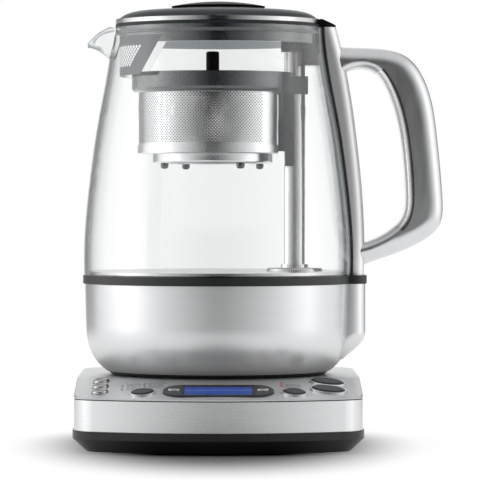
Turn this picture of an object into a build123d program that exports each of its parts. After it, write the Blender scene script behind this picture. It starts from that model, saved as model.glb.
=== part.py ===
from build123d import *
from math import atan, cos, hypot, radians, sin
import os

# Automatic tea maker: a glass jug whose tea basket rides up and down a magnetic lift post,
# on a 360-degree power base with a sloping control panel.
# Millimetres, +Z up. The origin is on the jug's axis, on the plane that the feet stand on.
# +X points to the handle, -Y to the control panel. Each piece is one node in parts/.

os.makedirs("parts", exist_ok=True)

# ---------------------------------------------------------------- driving dimensions
# clearances
RUN = 0.3              # between bodies that move past each other
FIT = 0.15             # between pieces that are assembled and stay put
SHAFT_RUN = 0.08       # radial, round a turning or sliding shaft
HAIR = 0.05            # between faces that only touch
EPS = 1.0              # overshoot of cutting tools

# power base, seen from above
BASE_WIDTH = 165.0
BASE_FRONT = 112.0     # jug axis to the middle of the bowed front
BASE_REAR = 88.0       # jug axis to the rear
BASE_BOW = 24.0        # how far the front's middle stands ahead of its ends
FRONT_CORNER_R = 20.0
REAR_CORNER_R = 28.0

# power base, heights and walls
FOOT_PROUD = 1.0       # feet below the case
CASE_KNEE_Z = 8.4      # where the case's side turns upright
CASE_TAPER = 8.0       # how far the underside draws in below the knee
CASE_TOP_Z = 13.0
CASE_WALL = 2.2
CASE_LIP = 0.8         # case stands out past the steel band
BAND_WALL = 1.0
BAND_TOP_Z = 30.5
SEAM_GAP = 0.6         # dark gasket line between band and top shell
SEAM_INSET = 0.25      # the gasket stays behind the band's face
DECK_Z = 41.0          # flat seat of the jug
PANEL_DEPTH = 46.0     # the panel slopes down over this much of the front
PANEL_DROP = 9.4       # and drops this much
PANEL_FOLD_R = 45.0    # softness of the fold between seat and panel
SHELL_WALL = 2.6
DECK_EDGE_R = 1.0
SHELL_SKIRT_WALL = 1.8

# feet, case screws
FOOT_R = 6.0
FOOT_SINK = 0.8
FEET = [(-56, -76), (56, -76), (-58, 62), (58, 62)]
BOSS_R = 4.5
BOSSES = [(-68, -28), (68, -28), (-64, 40), (64, 40)]
SCREW_R = 1.5
SCREW_HEAD_R = 2.9
SCREW_HEAD_H = 2.0
CASE_SCREW_LEN = 18.0

# cord gland, in the middle of the rear
GLAND_R = 5.5
GLAND_HOLE_R = 3.6
GLAND_FLANGE_R = 7.5
GLAND_FLANGE_H = 2.0
GLAND_Z = 21.0

# controls, as plan positions on the panel
BUTTON_TRAVEL = 0.8
STEM_DEPTH = 5.2       # stem below the panel surface
FLANGE_OUT = 1.2       # retaining flange under the panel
FLANGE_H = 1.0
SMALL_X = -67.5
SMALL_Y = -67.4        # middle one of the three small buttons
SMALL_PITCH = 13.4
SMALL_D = 9.6
SMALL_PROUD = 2.0
ROUND_X = 43.1
ROUND_Y = -90.1
ROUND_D = 13.0
OVAL_X = 62.7
OVAL_Y = -68.0         # midway between the two large ovals
OVAL_PITCH = 18.6
OVAL_LONG = 19.0
OVAL_WIDE = 15.0
LARGE_PROUD = 1.5
RING_WALL = 1.2        # chrome ring round each large button
RING_PROUD = 0.7
LIGHTS_X = (-54.9, -42.2)
LIGHTS_Y = -75.0
LIGHT_PITCH = 4.9
LIGHT_R = 0.8

# display
BEZEL_LONG = 63.0
BEZEL_DEEP = 24.0
BEZEL_Y = -92.5
BEZEL_PROUD = 0.9
WINDOW_LONG = 40.3
WINDOW_DEEP = 20.6
WINDOW_THICK = 1.2
WINDOW_LEDGE = 0.8
DISPLAY_THICK = 2.8
ARROW_X = 25.2
ARROW_LONG = 7.0
ARROW_WIDE = 4.8
ARROW_PROUD = 0.9
BOARD_DEPTH = 13.0     # control board under the panel surface
BOARD_THICK = 1.6
BOARD_LONG = 142.0
BOARD_DEEP = 56.0
BOARD_Y = -82.0
SWITCH_SIZE = (5.0, 4.0)

# power board, on posts from the case's floor
POWER_BOARD_Y = 44.0
POWER_BOARD_SIZE = (76.0, 52.0)
POWER_BOARD_Z = 12.0
POWER_POST_R = 2.5
POWER_PARTS_H = 14.0
TRANSFORMER_X = -22.0
TRANSFORMER_SIZE = (20.0, 16.0)
CAPACITOR_R = 7.0
CAPACITOR_AT = (12.0, 8.0)     # from the board's middle
RELAY_SIZE = (12.0, 14.0)
RELAY_AT = (26.0, -10.0)

# 360-degree connector
MALE_R = 17.0
MALE_TOP_Z = 50.0
MALE_GROOVE_R = 12.5
MALE_PIN_R = 5.5
GROOVE_FLOOR_Z = 40.0
FEMALE_R = 25.0
FEMALE_TOP_Z = 60.0
FEMALE_LIP = 3.0       # flange that rides over the plinth
FEMALE_WALL_R = 10.5   # contact sleeve that drops into the male groove
FEMALE_SLEEVE_WALL = 2.0
FEMALE_SLEEVE_GAP = 4.0        # sleeve's foot over the groove's floor
CONNECTOR_FLANGE_R = 24.0
CONNECTOR_FLANGE_H = 3.0
CONNECTOR_EDGE_R = 0.8

# jug, below the glass
SEAT_GAP = 0.3         # plinth over the base's seat
PLINTH_R = 63.1
PLINTH_EDGE_R = 65.6
PLINTH_EDGE_H = 1.9
PLINTH_THICK = 2.4
SKIRT_FOOT_R = 66.2
SKIRT_TOP_R = 79.0     # the jug above takes its width from here
SKIRT_TURN_Z = 70.0    # the skirt's curve ends here
SKIRT_TURN_IN = 0.6    # drawn in there, from the top's radius
SKIRT_TOP_Z = 94.7
SKIRT_WALL = 1.2
SKIRT_FOOT_PULL = (8.3, 6.2)       # the curve's handles, from its foot and its turn
SKIRT_TURN_PULL = (-0.3, -12.0)
BULGE_OUT = 7.5        # swelling under the handle, past the skirt's top
BULGE_HALF = 22.0
BULGE_KNEE_Z = 66.0
BULGE_KNEE_PULL = (-0.6, -7.0)
BULGE_HEEL_PULL = (-6.0, -9.0)
BULGE_HEEL = 7.0       # the swelling starts this far out from the skirt's foot, and up
BULGE_EDGE_R = 9.0
SEAL_OUT = 1.2         # seal past the skirt's top
SEAL_IN = 5.0          # and inside it
SEAL_LEDGE_IN = 2.7
SEAL_H = 4.8
SEAL_LEDGE_H = 0.8
TAB_OUT = 1.0          # seal's tab past the swelling
TAB_HALF = 20.0
FLOOR_THICK = 1.6

# jug glass: how far it draws in from its foot's radius, at height above the table
GLASS_OUT = 0.6        # foot of the glass past the skirt's top
GLASS_WALL = 2.6
GLASS_DRAW_IN = [(0.5, 128.0), (3.3, 156.0), (7.6, 186.8), (12.9, 215.0), (16.6, 245.6)]

# spout, from the glass's top radius: root inside the jug, middle, tip
SPOUT_WALL = 2.3
SPOUT_ROOT_IN = 13.0
SPOUT_ROOT_HALF = 22.0
SPOUT_ROOT_Z = 208.0
SPOUT_MID_OUT = 6.5
SPOUT_MID_HALF = 12.5
SPOUT_MID_Z = 231.2
SPOUT_MID_TOP_Z = 243.2
SPOUT_TIP_OUT = 14.3
SPOUT_TIP_Z = 234.0
SPOUT_TIP_HALF = 5.0
SPOUT_CUT_H = 12.0     # the channel's cut runs this far over the glass
SPOUT_LIP_OUT = 0.5
SPOUT_LIP_WALL = 0.8
SPOUT_LIP_DROP = 0.3

# lift post and its drive
POST_IN = 17.8         # from the glass's top radius
POST_LONG = 12.4
POST_WIDE = 9.0
POST_WALL = 1.0
POST_TOP_Z = 239.0
POST_FOOT_R = 16.5     # raised ring in the floor round the post
POST_FOOT_H = 2.0
LIFT_SCREW_R = 2.0
MOTOR_R = 12.5
MOTOR_H = 30.0
MOTOR_EDGE_R = 2.0
MOTOR_FLANGE_R = 15.0
MOTOR_FLANGE_H = 2.5
SHAFT_DEPTH = 5.0
COUPLING_H = 6.0
FRAME_Z = 86.0         # inner frame's floor
FRAME_THICK = 2.5
FRAME_GAP = 1.6        # inside the seal
FRAME_LEG_R = 4.5
FRAME_LEG_CIRCLE_R = 56.0
PLINTH_SCREW_LEN = 14.0

# heating element and sensor
ELEMENT_R = 50.0
ELEMENT_TUBE_R = 3.5
ELEMENT_ARC = 290.0
ELEMENT_PIN_LEN = 7.0
SENSOR_R = 9.0
SENSOR_H = 5.0
SENSOR_X = -22.0

# handle and spine, side views: x out from the glass's foot, height above the table
SPINE_SIDE = [(-10.3, 245.9), (-4.0, 219.7), (2.6, 175.6), (6.5, 125.0)]
SPINE_FOOT_OUT = 6.2
SPINE_WIDTH = 27.0
SPINE_EDGE_R = 6.0
SPINE_GASKET = 0.9
SPINE_GASKET_LIP = 1.0 # gasket past the spine's sides
CAP_TOP_Z = 250.6
CAP_EDGE_H = 1.15
HANDLE_WIDTH = 25.0
HANDLE_OUTER_R = 9.0   # rounding of the handle's section, away from the hand's palm
HANDLE_INNER_R = 4.5   # and towards the finger gap
HANDLE_OUTER_SIDE = [(-11.6, 235.0), (12.4, 233.6), (32.5, 228.2), (41.0, 217.6), (49.5, 183.7),
                     (52.9, 147.3), (50.6, 128.2), (39.9, 119.2), (18.8, 110.2), (0.4, 103.4)]
HANDLE_INNER_SIDE = [(-7.6, 216.4), (0.8, 221.3), (12.4, 219.7), (19.8, 210.2), (29.3, 174.2),
                     (31.2, 149.9), (29.3, 134.0), (21.9, 126.1), (0.4, 117.4)]
TRIM_WALL = 4.6
TRIM_WIDTH = 23.4
TRIM_EDGE_R = 4.0
TRIM_TOP_CUT = [(11.9, 217.0), (23.8, 226.1)]      # the strip's upper end, square to the grip
TRIM_FOOT_CUT = [(23.9, 130.4), (34.9, 120.2)]
HANDLE_SCREWS_Z = (112.0, 227.5)
HANDLE_SCREW_R = 2.0
HANDLE_SCREW_REACH = 12.0

# jug lid; its dome: how far it draws in from the lid's radius, at height above the table
LID_IN = 2.1           # lid's edge inside the glass's outer edge
LID_EDGE_H = 1.6
LID_WALL = 2.2
DOME_DRAW_IN = [(2.7, 251.4), (16.2, 255.6), (33.4, 257.3)]
LID_TRIM_WALL = 1.4
LID_TRIM_H = 3.2
LID_TRIM_PROUD = 0.6   # trim ring over the dome's shoulder
KNOB_OUT = 0.3         # knob past the dome's flat top
KNOB_EDGE_H = 1.2
KNOB_CROWN = 2.8
KNOB_BEVEL = 1.0
LID_PLUG_GAP = 1.9     # inside the glass
LID_PLUG_FOOT_Z = 235.7
LID_PLUG_WALL = 2.0
LID_SEAL_GAP = 0.3
LID_SEAL_Z = 241.5
LID_SEAL_H = 2.0
HOUSING_NEAR = 8.4     # housing over the post's top: near side and step, from the post's middle
HOUSING_STEP = 4.8
HOUSING_GAP = 0.4      # inside the glass
HOUSING_HALF = 14.0
HOUSING_FOOT_Z = 231.0
HOUSING_LOW_GAP = 4.0  # over the raised basket
STRAINER_FOOT_Z = 217.0
STRAINER_FOOT_X = -44.9            # slanted rear edge, at the foot and at the joint
STRAINER_JOINT_X = -32.1
STRAINER_WALL = 1.4
STRAINER_JOINT_Z = 240.0
HOLE_COLUMNS = 28      # to each side of the middle
HOLE_ROWS = 4
HOLE_SIDE = 1.65
HOLE_PITCH = 3.0       # in a column; the next column stands half of it on, and half of it away
HOLE_Z = 228.1         # middle of the rows
HOLE_MARGIN = 9.0      # bare strip along the slanted edge

# tea basket
BASKET_X = -3.4
RIM_R = 48.0
RIM_TOP_Z = 219.0
RIM_H = 12.0
RIM_EDGE_R = 3.5
WALL_R = 43.8
WALL_SHEET = 0.6
WALL_FOOT_Z = 172.2
FLAT_NEAR = 10.8       # flat of the wall in front of the lift bracket, from the post's middle
BAND_R = 44.6
BAND_Z = 171.1
BAND_H = 5.2
BAND_SHEET = 0.6
CAP_R = 35.5
CAP_Z = 165.4
CAP_WALL = 5.0
BAND_EDGE = 0.5
BASKET_FOOT_H = 3.2
BASKET_FOOT_R = 2.4
BASKET_FEET = 4
FOOT_TURN = 30.0
LEDGE_H = 1.2          # step in the rim that the basket's lid rests on
LEDGE_WIDE = 2.4
FLOOR_RINGS = 3
FLOOR_RING_R = 9.0     # first ring of holes; the next ones stand as far apart
FLOOR_HOLE_R = 1.3
BRACKET_NEAR = 0.5     # bracket's end before the post's middle
BRACKET_ARM_PAST = 7.7 # arm's end past it
BRACKET_WALL = 2.6
BRACKET_FOOT_Z = 172.7
FAIRING_HALF = 20.0    # the rim narrows into the bracket
FAIRING_H = 15.0
FAIRING_THICK = 3.0
FINGER_Z = 164.0
FINGER_WIDE = 5.4
ARM_FOOT_Z = 206.5
ARM_TOP_Z = 217.0
MAGNET_SIZE = (1.8, 6.0, 20.0)
MAGNET_Z = 186.0
BASKET_TRAVEL = 56.0
LID_DISC_R = 42.4
LID_DISC_H = 2.2
LID_DISC_Z = 215.6
LID_KNOB_R = 3.9
LID_KNOB_TOP_Z = 231.9

# ---------------------------------------------------------------- sizes that follow
BOW_R = (BASE_WIDTH**2 / 4 + BASE_BOW**2) / (2 * BASE_BOW)
BOW_Y = BOW_R - BASE_FRONT             # centre of the front's arc
FOLD_R = BOW_R - PANEL_DEPTH           # the panel starts this far from that centre
PANEL_TILT = atan(PANEL_DROP / PANEL_DEPTH)
SEAM_Z = BAND_TOP_Z + SEAM_GAP
SHELL_INSET = BAND_WALL + FIT
CAVITY_INSET = SHELL_INSET + SHELL_SKIRT_WALL
DECK_UNDER_Z = DECK_Z - SHELL_WALL
PLINTH_Z = DECK_Z + SEAT_GAP
PLINTH_TOP_Z = PLINTH_Z + PLINTH_THICK
SKIRT_FOOT_Z = PLINTH_Z + PLINTH_EDGE_H + 2 * HAIR
SEAL_Z = SKIRT_TOP_Z + 2 * HAIR
SEAL_TOP_Z = SEAL_Z + SEAL_H
SEAL_R = SKIRT_TOP_R + SEAL_OUT
SEAL_IN_R = SKIRT_TOP_R - SEAL_IN
SEAL_LEDGE_R = SKIRT_TOP_R - SEAL_LEDGE_IN
BULGE_X = SKIRT_TOP_R + BULGE_OUT
TAB_X = BULGE_X + TAB_OUT
FLOOR_R = SEAL_LEDGE_R - 2 * HAIR
FLOOR_Z = SEAL_TOP_Z + SEAL_LEDGE_H
FLOOR_TOP_Z = FLOOR_Z + FLOOR_THICK
FRAME_R = SEAL_IN_R - FRAME_GAP
GLASS_FOOT_R = SKIRT_TOP_R + GLASS_OUT
GLASS_OUTLINE = [(GLASS_FOOT_R, SEAL_TOP_Z)] + [(GLASS_FOOT_R - draw, z) for draw, z in GLASS_DRAW_IN]
GLASS_TOP_R, GLASS_TOP_Z = GLASS_OUTLINE[-1]
SPOUT_ROOT_X = GLASS_TOP_R - SPOUT_ROOT_IN
SPOUT_MID_X = GLASS_TOP_R + SPOUT_MID_OUT
SPOUT_TIP_X = GLASS_TOP_R + SPOUT_TIP_OUT
SPINE_OUTLINE = [(GLASS_FOOT_R + x, z) for x, z in SPINE_SIDE]
SPINE_OUTLINE += [(GLASS_FOOT_R + SPINE_FOOT_OUT, SEAL_TOP_Z + 2 * HAIR)]
HANDLE_OUTER = [(GLASS_FOOT_R + x, z) for x, z in HANDLE_OUTER_SIDE]
HANDLE_INNER = [(GLASS_FOOT_R + x, z) for x, z in HANDLE_INNER_SIDE]
LID_Z = GLASS_TOP_Z + RUN
LID_R = GLASS_TOP_R - LID_IN
LID_PLUG_R = GLASS_TOP_R - GLASS_WALL - LID_PLUG_GAP
LID_SEAL_R = GLASS_TOP_R - GLASS_WALL - LID_SEAL_GAP
TRIM_Z = LID_Z + LID_EDGE_H
DOME_OUTLINE = [(LID_R - draw, z) for draw, z in DOME_DRAW_IN]
DOME_TOP_R, DOME_TOP_Z = DOME_OUTLINE[-1]
KNOB_R = DOME_TOP_R + KNOB_OUT
POST_X = GLASS_TOP_R - POST_IN
HOUSING_R = GLASS_TOP_R - GLASS_WALL - HOUSING_GAP
HOUSING_X = POST_X - HOUSING_NEAR
HOUSING_STEP_X = POST_X + HOUSING_STEP
HOUSING_LOW_Z = RIM_TOP_Z + HOUSING_LOW_GAP
FLAT_X = POST_X - FLAT_NEAR
BRACKET_X = POST_X - BRACKET_NEAR
BRACKET_ARM_X = POST_X + BRACKET_ARM_PAST
ELEMENT_Z = FLOOR_Z - ELEMENT_TUBE_R - HAIR
FRAME_TOP_Z = FRAME_Z + FRAME_THICK
MOTOR_TOP_Z = FRAME_TOP_Z + MOTOR_FLANGE_H
RIM_Z = RIM_TOP_Z - RIM_H
BRACKET_BACK_X = FLAT_X + BAND_SHEET + FIT


# ---------------------------------------------------------------- power base: shared shapes
def base_plan(z, inset):
    """Outline of the base at height z: bowed front, straight sides, rounded corners."""
    half = BASE_WIDTH / 2
    front = BASE_BOW - BASE_FRONT
    with BuildSketch(Plane.XY.offset(z)) as plan:
        with BuildLine():
            ThreePointArc((-half, front), (0, -BASE_FRONT), (half, front))
            Polyline((half, front), (half, BASE_REAR), (-half, BASE_REAR), (-half, front))
        make_face()
        fillet(plan.vertices().sort_by(Axis.Y)[:2], FRONT_CORNER_R)
        fillet(plan.vertices().sort_by(Axis.Y)[-2:], REAR_CORNER_R)
        if inset:
            offset(amount=-inset)
    return plan.sketch


def below_deck(rise):
    """Everything under the seat and the sloping panel, both raised by rise."""
    far = BOW_R + 2 * CASE_LIP + EPS
    far_z = DECK_Z - (far - FOLD_R) * PANEL_DROP / PANEL_DEPTH
    with BuildPart() as bulk:
        with BuildSketch(Plane.XZ.offset(-BOW_Y)) as profile:
            with BuildLine():
                Polyline((0, 0), (0, DECK_Z + rise), (FOLD_R, DECK_Z + rise),
                         (far, far_z + rise), (far, 0), close=True)
            make_face()
            fold = profile.vertices().sort_by_distance((FOLD_R, DECK_Z + rise))[0]
            fillet(fold, PANEL_FOLD_R)
        revolve(axis=Axis((0, BOW_Y, 0), (0, 0, 1)))
    return bulk.part


def on_panel(x, y, rise=0.0):
    """Plane square to the panel over plan point (x, y), its x axis along the front."""
    reach = hypot(x, y - BOW_Y)
    z = DECK_Z - max(0.0, reach - FOLD_R) * PANEL_DROP / PANEL_DEPTH
    lean = sin(PANEL_TILT) if reach > FOLD_R else 0.0
    normal = Vector(lean * x / reach, lean * (y - BOW_Y) / reach, cos(PANEL_TILT))
    return Plane(origin=(x, y, z), x_dir=(1, 0, 0), z_dir=normal).offset(rise)


# name: plan x, plan y, length, width, height over the panel, surface it stands on
SMALL_NAMES = ("front", "middle", "rear")
OVAL_NAMES = ("front", "rear")
BUTTONS = {}
for step, place in enumerate(SMALL_NAMES):
    BUTTONS[f"small_button_{place}"] = (SMALL_X, SMALL_Y + (step - 1) * SMALL_PITCH,
                                        SMALL_D, SMALL_D, SMALL_PROUD)
for side, place in ((-1, "left"), (1, "right")):
    BUTTONS[f"round_button_{place}"] = (side * ROUND_X, ROUND_Y, ROUND_D, ROUND_D, LARGE_PROUD)
for step, place in enumerate(OVAL_NAMES):
    BUTTONS[f"oval_button_{place}"] = (OVAL_X, OVAL_Y + (step - 0.5) * OVAL_PITCH,
                                       OVAL_LONG, OVAL_WIDE, LARGE_PROUD)
RINGED = [name for name in BUTTONS if not name.startswith("small")]
ARROWS = {"arrow_button_left": -ARROW_X, "arrow_button_right": ARROW_X}

deck_solid = below_deck(0)
deck_hollow = below_deck(-SHELL_WALL)
bezel_plane = on_panel(0, BEZEL_Y)
panel_up = Axis(bezel_plane.origin, bezel_plane.z_dir)
board_plane = bezel_plane.offset(-BOARD_DEPTH)

# ---------------------------------------------------------------- power base: case and feet
with BuildPart() as base_lower_case:
    extrude(base_plan(CASE_KNEE_Z, -CASE_LIP), amount=CASE_TOP_Z - CASE_KNEE_Z)
    loft([base_plan(CASE_KNEE_Z, -CASE_LIP), base_plan(FOOT_PROUD, CASE_TAPER - CASE_LIP)], ruled=True)
    extrude(base_plan(CASE_TOP_Z, CASE_WALL), amount=CASE_KNEE_Z - CASE_TOP_Z, mode=Mode.SUBTRACT)
    hollow_top = base_plan(CASE_KNEE_Z, CASE_WALL)
    hollow_floor = base_plan(FOOT_PROUD + CASE_WALL, CASE_TAPER + CASE_WALL - 2 * CASE_LIP)
    loft([hollow_top, hollow_floor], ruled=True, mode=Mode.SUBTRACT)
    with BuildSketch(Plane.XY.offset(FOOT_PROUD + CASE_WALL / 2)):
        with Locations(*BOSSES):
            Circle(BOSS_R)
    extrude(amount=CASE_TOP_Z - FOOT_PROUD - CASE_WALL / 2)
    with BuildSketch(Plane.XY.offset(FOOT_PROUD)):
        with Locations(*BOSSES):
            Circle(SCREW_R + FIT)
    extrude(amount=CASE_TOP_Z, mode=Mode.SUBTRACT)
    with BuildSketch(Plane.XY.offset(FOOT_PROUD)):
        with Locations(*BOSSES):
            Circle(SCREW_HEAD_R + FIT)
        with Locations(*FEET):
            Circle(FOOT_R + FIT)
    extrude(amount=FOOT_SINK, mode=Mode.SUBTRACT)
    with BuildSketch(Plane.XY.offset(FOOT_PROUD)):
        with Locations(*BOSSES):
            Circle(SCREW_HEAD_R + FIT)
    extrude(amount=SCREW_HEAD_H + FOOT_SINK, mode=Mode.SUBTRACT)
base_lower_case.part.label = "base_lower_case"
export_step(base_lower_case.part, "parts/base_lower_case.step")

with BuildPart() as rubber_feet:
    with BuildSketch():
        with Locations(*FEET):
            Circle(FOOT_R)
    extrude(amount=FOOT_PROUD + FOOT_SINK)
    chamfer(rubber_feet.edges().group_by(Axis.Z)[0], FOOT_PROUD / 3)
rubber_feet.part.label = "rubber_feet"
export_step(rubber_feet.part, "parts/rubber_feet.step")

screw_seat_z = FOOT_PROUD + FOOT_SINK + SCREW_HEAD_H
with BuildPart() as base_screws:
    with BuildSketch(Plane.XY.offset(screw_seat_z)):
        with Locations(*BOSSES):
            Circle(SCREW_R)
    extrude(amount=CASE_SCREW_LEN)
    with BuildSketch(Plane.XY.offset(screw_seat_z)):
        with Locations(*BOSSES):
            Circle(SCREW_HEAD_R)
    extrude(amount=-SCREW_HEAD_H)
base_screws.part.label = "base_screws"
export_step(base_screws.part, "parts/base_screws.step")

# ---------------------------------------------------------------- power base: band and shell
gland_plane = Plane.XZ.offset(-BASE_REAR)

with BuildPart() as base_side_band:
    extrude(base_plan(CASE_TOP_Z, 0), amount=BAND_TOP_Z - CASE_TOP_Z)
    extrude(base_plan(CASE_TOP_Z, BAND_WALL), amount=BAND_TOP_Z - CASE_TOP_Z, mode=Mode.SUBTRACT)
    with BuildSketch(gland_plane):
        with Locations((0, GLAND_Z)):
            Circle(GLAND_R + FIT)
    extrude(amount=2 * BAND_WALL, both=True, mode=Mode.SUBTRACT)
base_side_band.part.label = "base_side_band"
export_step(base_side_band.part, "parts/base_side_band.step")

with BuildPart() as seam_gasket:
    extrude(base_plan(BAND_TOP_Z, SEAM_INSET), amount=SEAM_GAP)
    extrude(base_plan(BAND_TOP_Z, BAND_WALL), amount=SEAM_GAP, mode=Mode.SUBTRACT)
seam_gasket.part.label = "seam_gasket"
export_step(seam_gasket.part, "parts/seam_gasket.step")

with BuildPart() as shell_cavity:
    extrude(base_plan(CASE_TOP_Z - EPS, CAVITY_INSET), amount=DECK_Z)
    add(deck_hollow, mode=Mode.INTERSECT)

with BuildPart() as base_top_shell:
    extrude(base_plan(SEAM_Z, 0), amount=DECK_Z)
    add(deck_solid, mode=Mode.INTERSECT)
    fillet(base_top_shell.edges().filter_by(GeomType.LINE).group_by(Axis.Z)[-1], DECK_EDGE_R)
    extrude(base_plan(SEAM_Z, SHELL_INSET), amount=CASE_TOP_Z - SEAM_Z)
    add(shell_cavity.part, mode=Mode.SUBTRACT)
    with BuildSketch(Plane.XY.offset(DECK_UNDER_Z)):
        with Locations(*BOSSES):
            Circle(BOSS_R)
    extrude(amount=CASE_TOP_Z - DECK_UNDER_Z)
    with BuildSketch(Plane.XY.offset(CASE_TOP_Z)):
        with Locations(*BOSSES):
            Circle(SCREW_R)
    extrude(amount=screw_seat_z + CASE_SCREW_LEN - CASE_TOP_Z + FIT, mode=Mode.SUBTRACT)
    with BuildSketch(Plane.XY.offset(DECK_Z)):
        Circle(MALE_R + FIT)
    extrude(amount=-2 * SHELL_WALL, mode=Mode.SUBTRACT)
    for x, y, long, wide, proud in BUTTONS.values():
        with BuildSketch(on_panel(x, y, EPS)):
            Ellipse(long / 2 + FIT, wide / 2 + FIT)
        extrude(amount=-2 * SHELL_WALL - EPS, mode=Mode.SUBTRACT)
    for x in LIGHTS_X:
        for step in (-1, 0, 1):
            with BuildSketch(on_panel(x, LIGHTS_Y + step * LIGHT_PITCH, EPS)):
                Circle(LIGHT_R + HAIR)
            extrude(amount=-2 * SHELL_WALL - EPS, mode=Mode.SUBTRACT)
    with BuildSketch(bezel_plane.offset(EPS)):
        SlotOverall(BEZEL_LONG + 2 * FIT, BEZEL_DEEP + 2 * FIT)
    extrude(amount=-3 * SHELL_WALL, mode=Mode.SUBTRACT)
    with BuildSketch(gland_plane):
        with Locations((0, GLAND_Z)):
            Circle(GLAND_R + FIT)
    extrude(amount=2 * CAVITY_INSET, both=True, mode=Mode.SUBTRACT)
base_top_shell.part.label = "base_top_shell"
export_step(base_top_shell.part, "parts/base_top_shell.step")

with BuildPart() as cord_gland:
    with BuildSketch(gland_plane):
        with Locations((0, GLAND_Z)):
            Circle(GLAND_FLANGE_R)
    extrude(amount=-GLAND_FLANGE_H)
    with BuildSketch(gland_plane):
        with Locations((0, GLAND_Z)):
            Circle(GLAND_R)
    extrude(amount=CAVITY_INSET + GLAND_FLANGE_H)
    fillet(cord_gland.edges().group_by(Axis.Y)[-1], GLAND_FLANGE_H / 3)
    with BuildSketch(gland_plane):
        with Locations((0, GLAND_Z)):
            Circle(GLAND_HOLE_R)
    extrude(amount=2 * CAVITY_INSET + GLAND_FLANGE_H, both=True, mode=Mode.SUBTRACT)
cord_gland.part.label = "cord_gland"
export_step(cord_gland.part, "parts/cord_gland.step")

# ---------------------------------------------------------------- power base: display
with BuildPart() as lcd_bezel:
    with BuildSketch(bezel_plane.offset(-SHELL_WALL)):
        SlotOverall(BEZEL_LONG, BEZEL_DEEP)
    extrude(amount=SHELL_WALL + BEZEL_PROUD)
    fillet(lcd_bezel.faces().sort_by(panel_up)[-1].edges(), BEZEL_PROUD / 2)
    with BuildSketch(bezel_plane.offset(BEZEL_PROUD)):
        Rectangle(WINDOW_LONG + 2 * FIT, WINDOW_DEEP + 2 * FIT)
    extrude(amount=-WINDOW_THICK, mode=Mode.SUBTRACT)
    with BuildSketch(bezel_plane.offset(BEZEL_PROUD)):
        Rectangle(WINDOW_LONG - 2 * WINDOW_LEDGE, WINDOW_DEEP - 2 * WINDOW_LEDGE)
    extrude(amount=-2 * SHELL_WALL, mode=Mode.SUBTRACT)
    with BuildSketch(bezel_plane.offset(BEZEL_PROUD)):
        with Locations((-ARROW_X, 0), (ARROW_X, 0)):
            Ellipse(ARROW_LONG / 2 + FIT, ARROW_WIDE / 2 + FIT)
    extrude(amount=-2 * SHELL_WALL, mode=Mode.SUBTRACT)
lcd_bezel.part.label = "lcd_bezel"
export_step(lcd_bezel.part, "parts/lcd_bezel.step")

with BuildPart() as lcd_window:
    with BuildSketch(bezel_plane.offset(BEZEL_PROUD)):
        Rectangle(WINDOW_LONG, WINDOW_DEEP)
    extrude(amount=-WINDOW_THICK)
lcd_window.part.label = "lcd_window"
export_step(lcd_window.part, "parts/lcd_window.step")

display_top = BEZEL_PROUD - WINDOW_THICK - FIT
with BuildPart() as lcd_module:
    with BuildSketch(bezel_plane.offset(display_top)):
        Rectangle(WINDOW_LONG - 2 * WINDOW_LEDGE - 2 * FIT, WINDOW_DEEP - 2 * WINDOW_LEDGE - 2 * FIT)
    extrude(amount=-DISPLAY_THICK)
    with BuildSketch(bezel_plane.offset(display_top - DISPLAY_THICK)):
        Rectangle(WINDOW_LONG + 2 * WINDOW_LEDGE, WINDOW_DEEP)
    extrude(amount=-BOARD_THICK)
    with BuildSketch(bezel_plane.offset(-BOARD_DEPTH)):
        with GridLocations(WINDOW_LONG, WINDOW_DEEP - 4 * WINDOW_LEDGE, 2, 2):
            Circle(LIGHT_R)
    extrude(amount=BOARD_DEPTH + display_top - DISPLAY_THICK - BOARD_THICK)
lcd_module.part.label = "lcd_module"
export_step(lcd_module.part, "parts/lcd_module.step")

# ---------------------------------------------------------------- power base: controls
with BuildPart() as button_rings:
    for name in RINGED:
        x, y, long, wide, proud = BUTTONS[name]
        with BuildSketch(on_panel(x, y, FIT / 2)):
            Ellipse(long / 2 + RING_WALL, wide / 2 + RING_WALL)
            Ellipse(long / 2 + FIT, wide / 2 + FIT, mode=Mode.SUBTRACT)
        extrude(amount=RING_PROUD)
    chamfer(button_rings.edges().group_by(Axis.Z)[-1], RING_PROUD / 3)
button_rings.part.label = "button_rings"
export_step(button_rings.part, "parts/button_rings.step")

with BuildPart() as indicator_leds:
    for x in LIGHTS_X:
        for step in (-1, 0, 1):
            with BuildSketch(on_panel(x, LIGHTS_Y + step * LIGHT_PITCH, 2 * HAIR)):
                Circle(LIGHT_R)
            extrude(amount=-2 * BOARD_DEPTH)
    split(bisect_by=board_plane, keep=Keep.TOP)
indicator_leds.part.label = "indicator_leds"
export_step(indicator_leds.part, "parts/indicator_leds.step")

for name, (x, y, long, wide, proud) in BUTTONS.items():
    with BuildPart() as button:
        with BuildSketch(on_panel(x, y, -STEM_DEPTH)):
            Ellipse(long / 2 - FIT, wide / 2 - FIT)
        extrude(amount=STEM_DEPTH + proud)
        crown = button.faces().sort_by(Axis((x, y, 0), on_panel(x, y).z_dir))[-1]
        fillet(crown.edges(), 0.85 * proud)
        with BuildSketch(on_panel(x, y, -SHELL_WALL - FIT)):
            Ellipse(long / 2 + FLANGE_OUT, wide / 2 + FLANGE_OUT)
        extrude(amount=-FLANGE_H)
    button.part.label = name
    export_step(button.part, f"parts/{name}.step")

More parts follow.
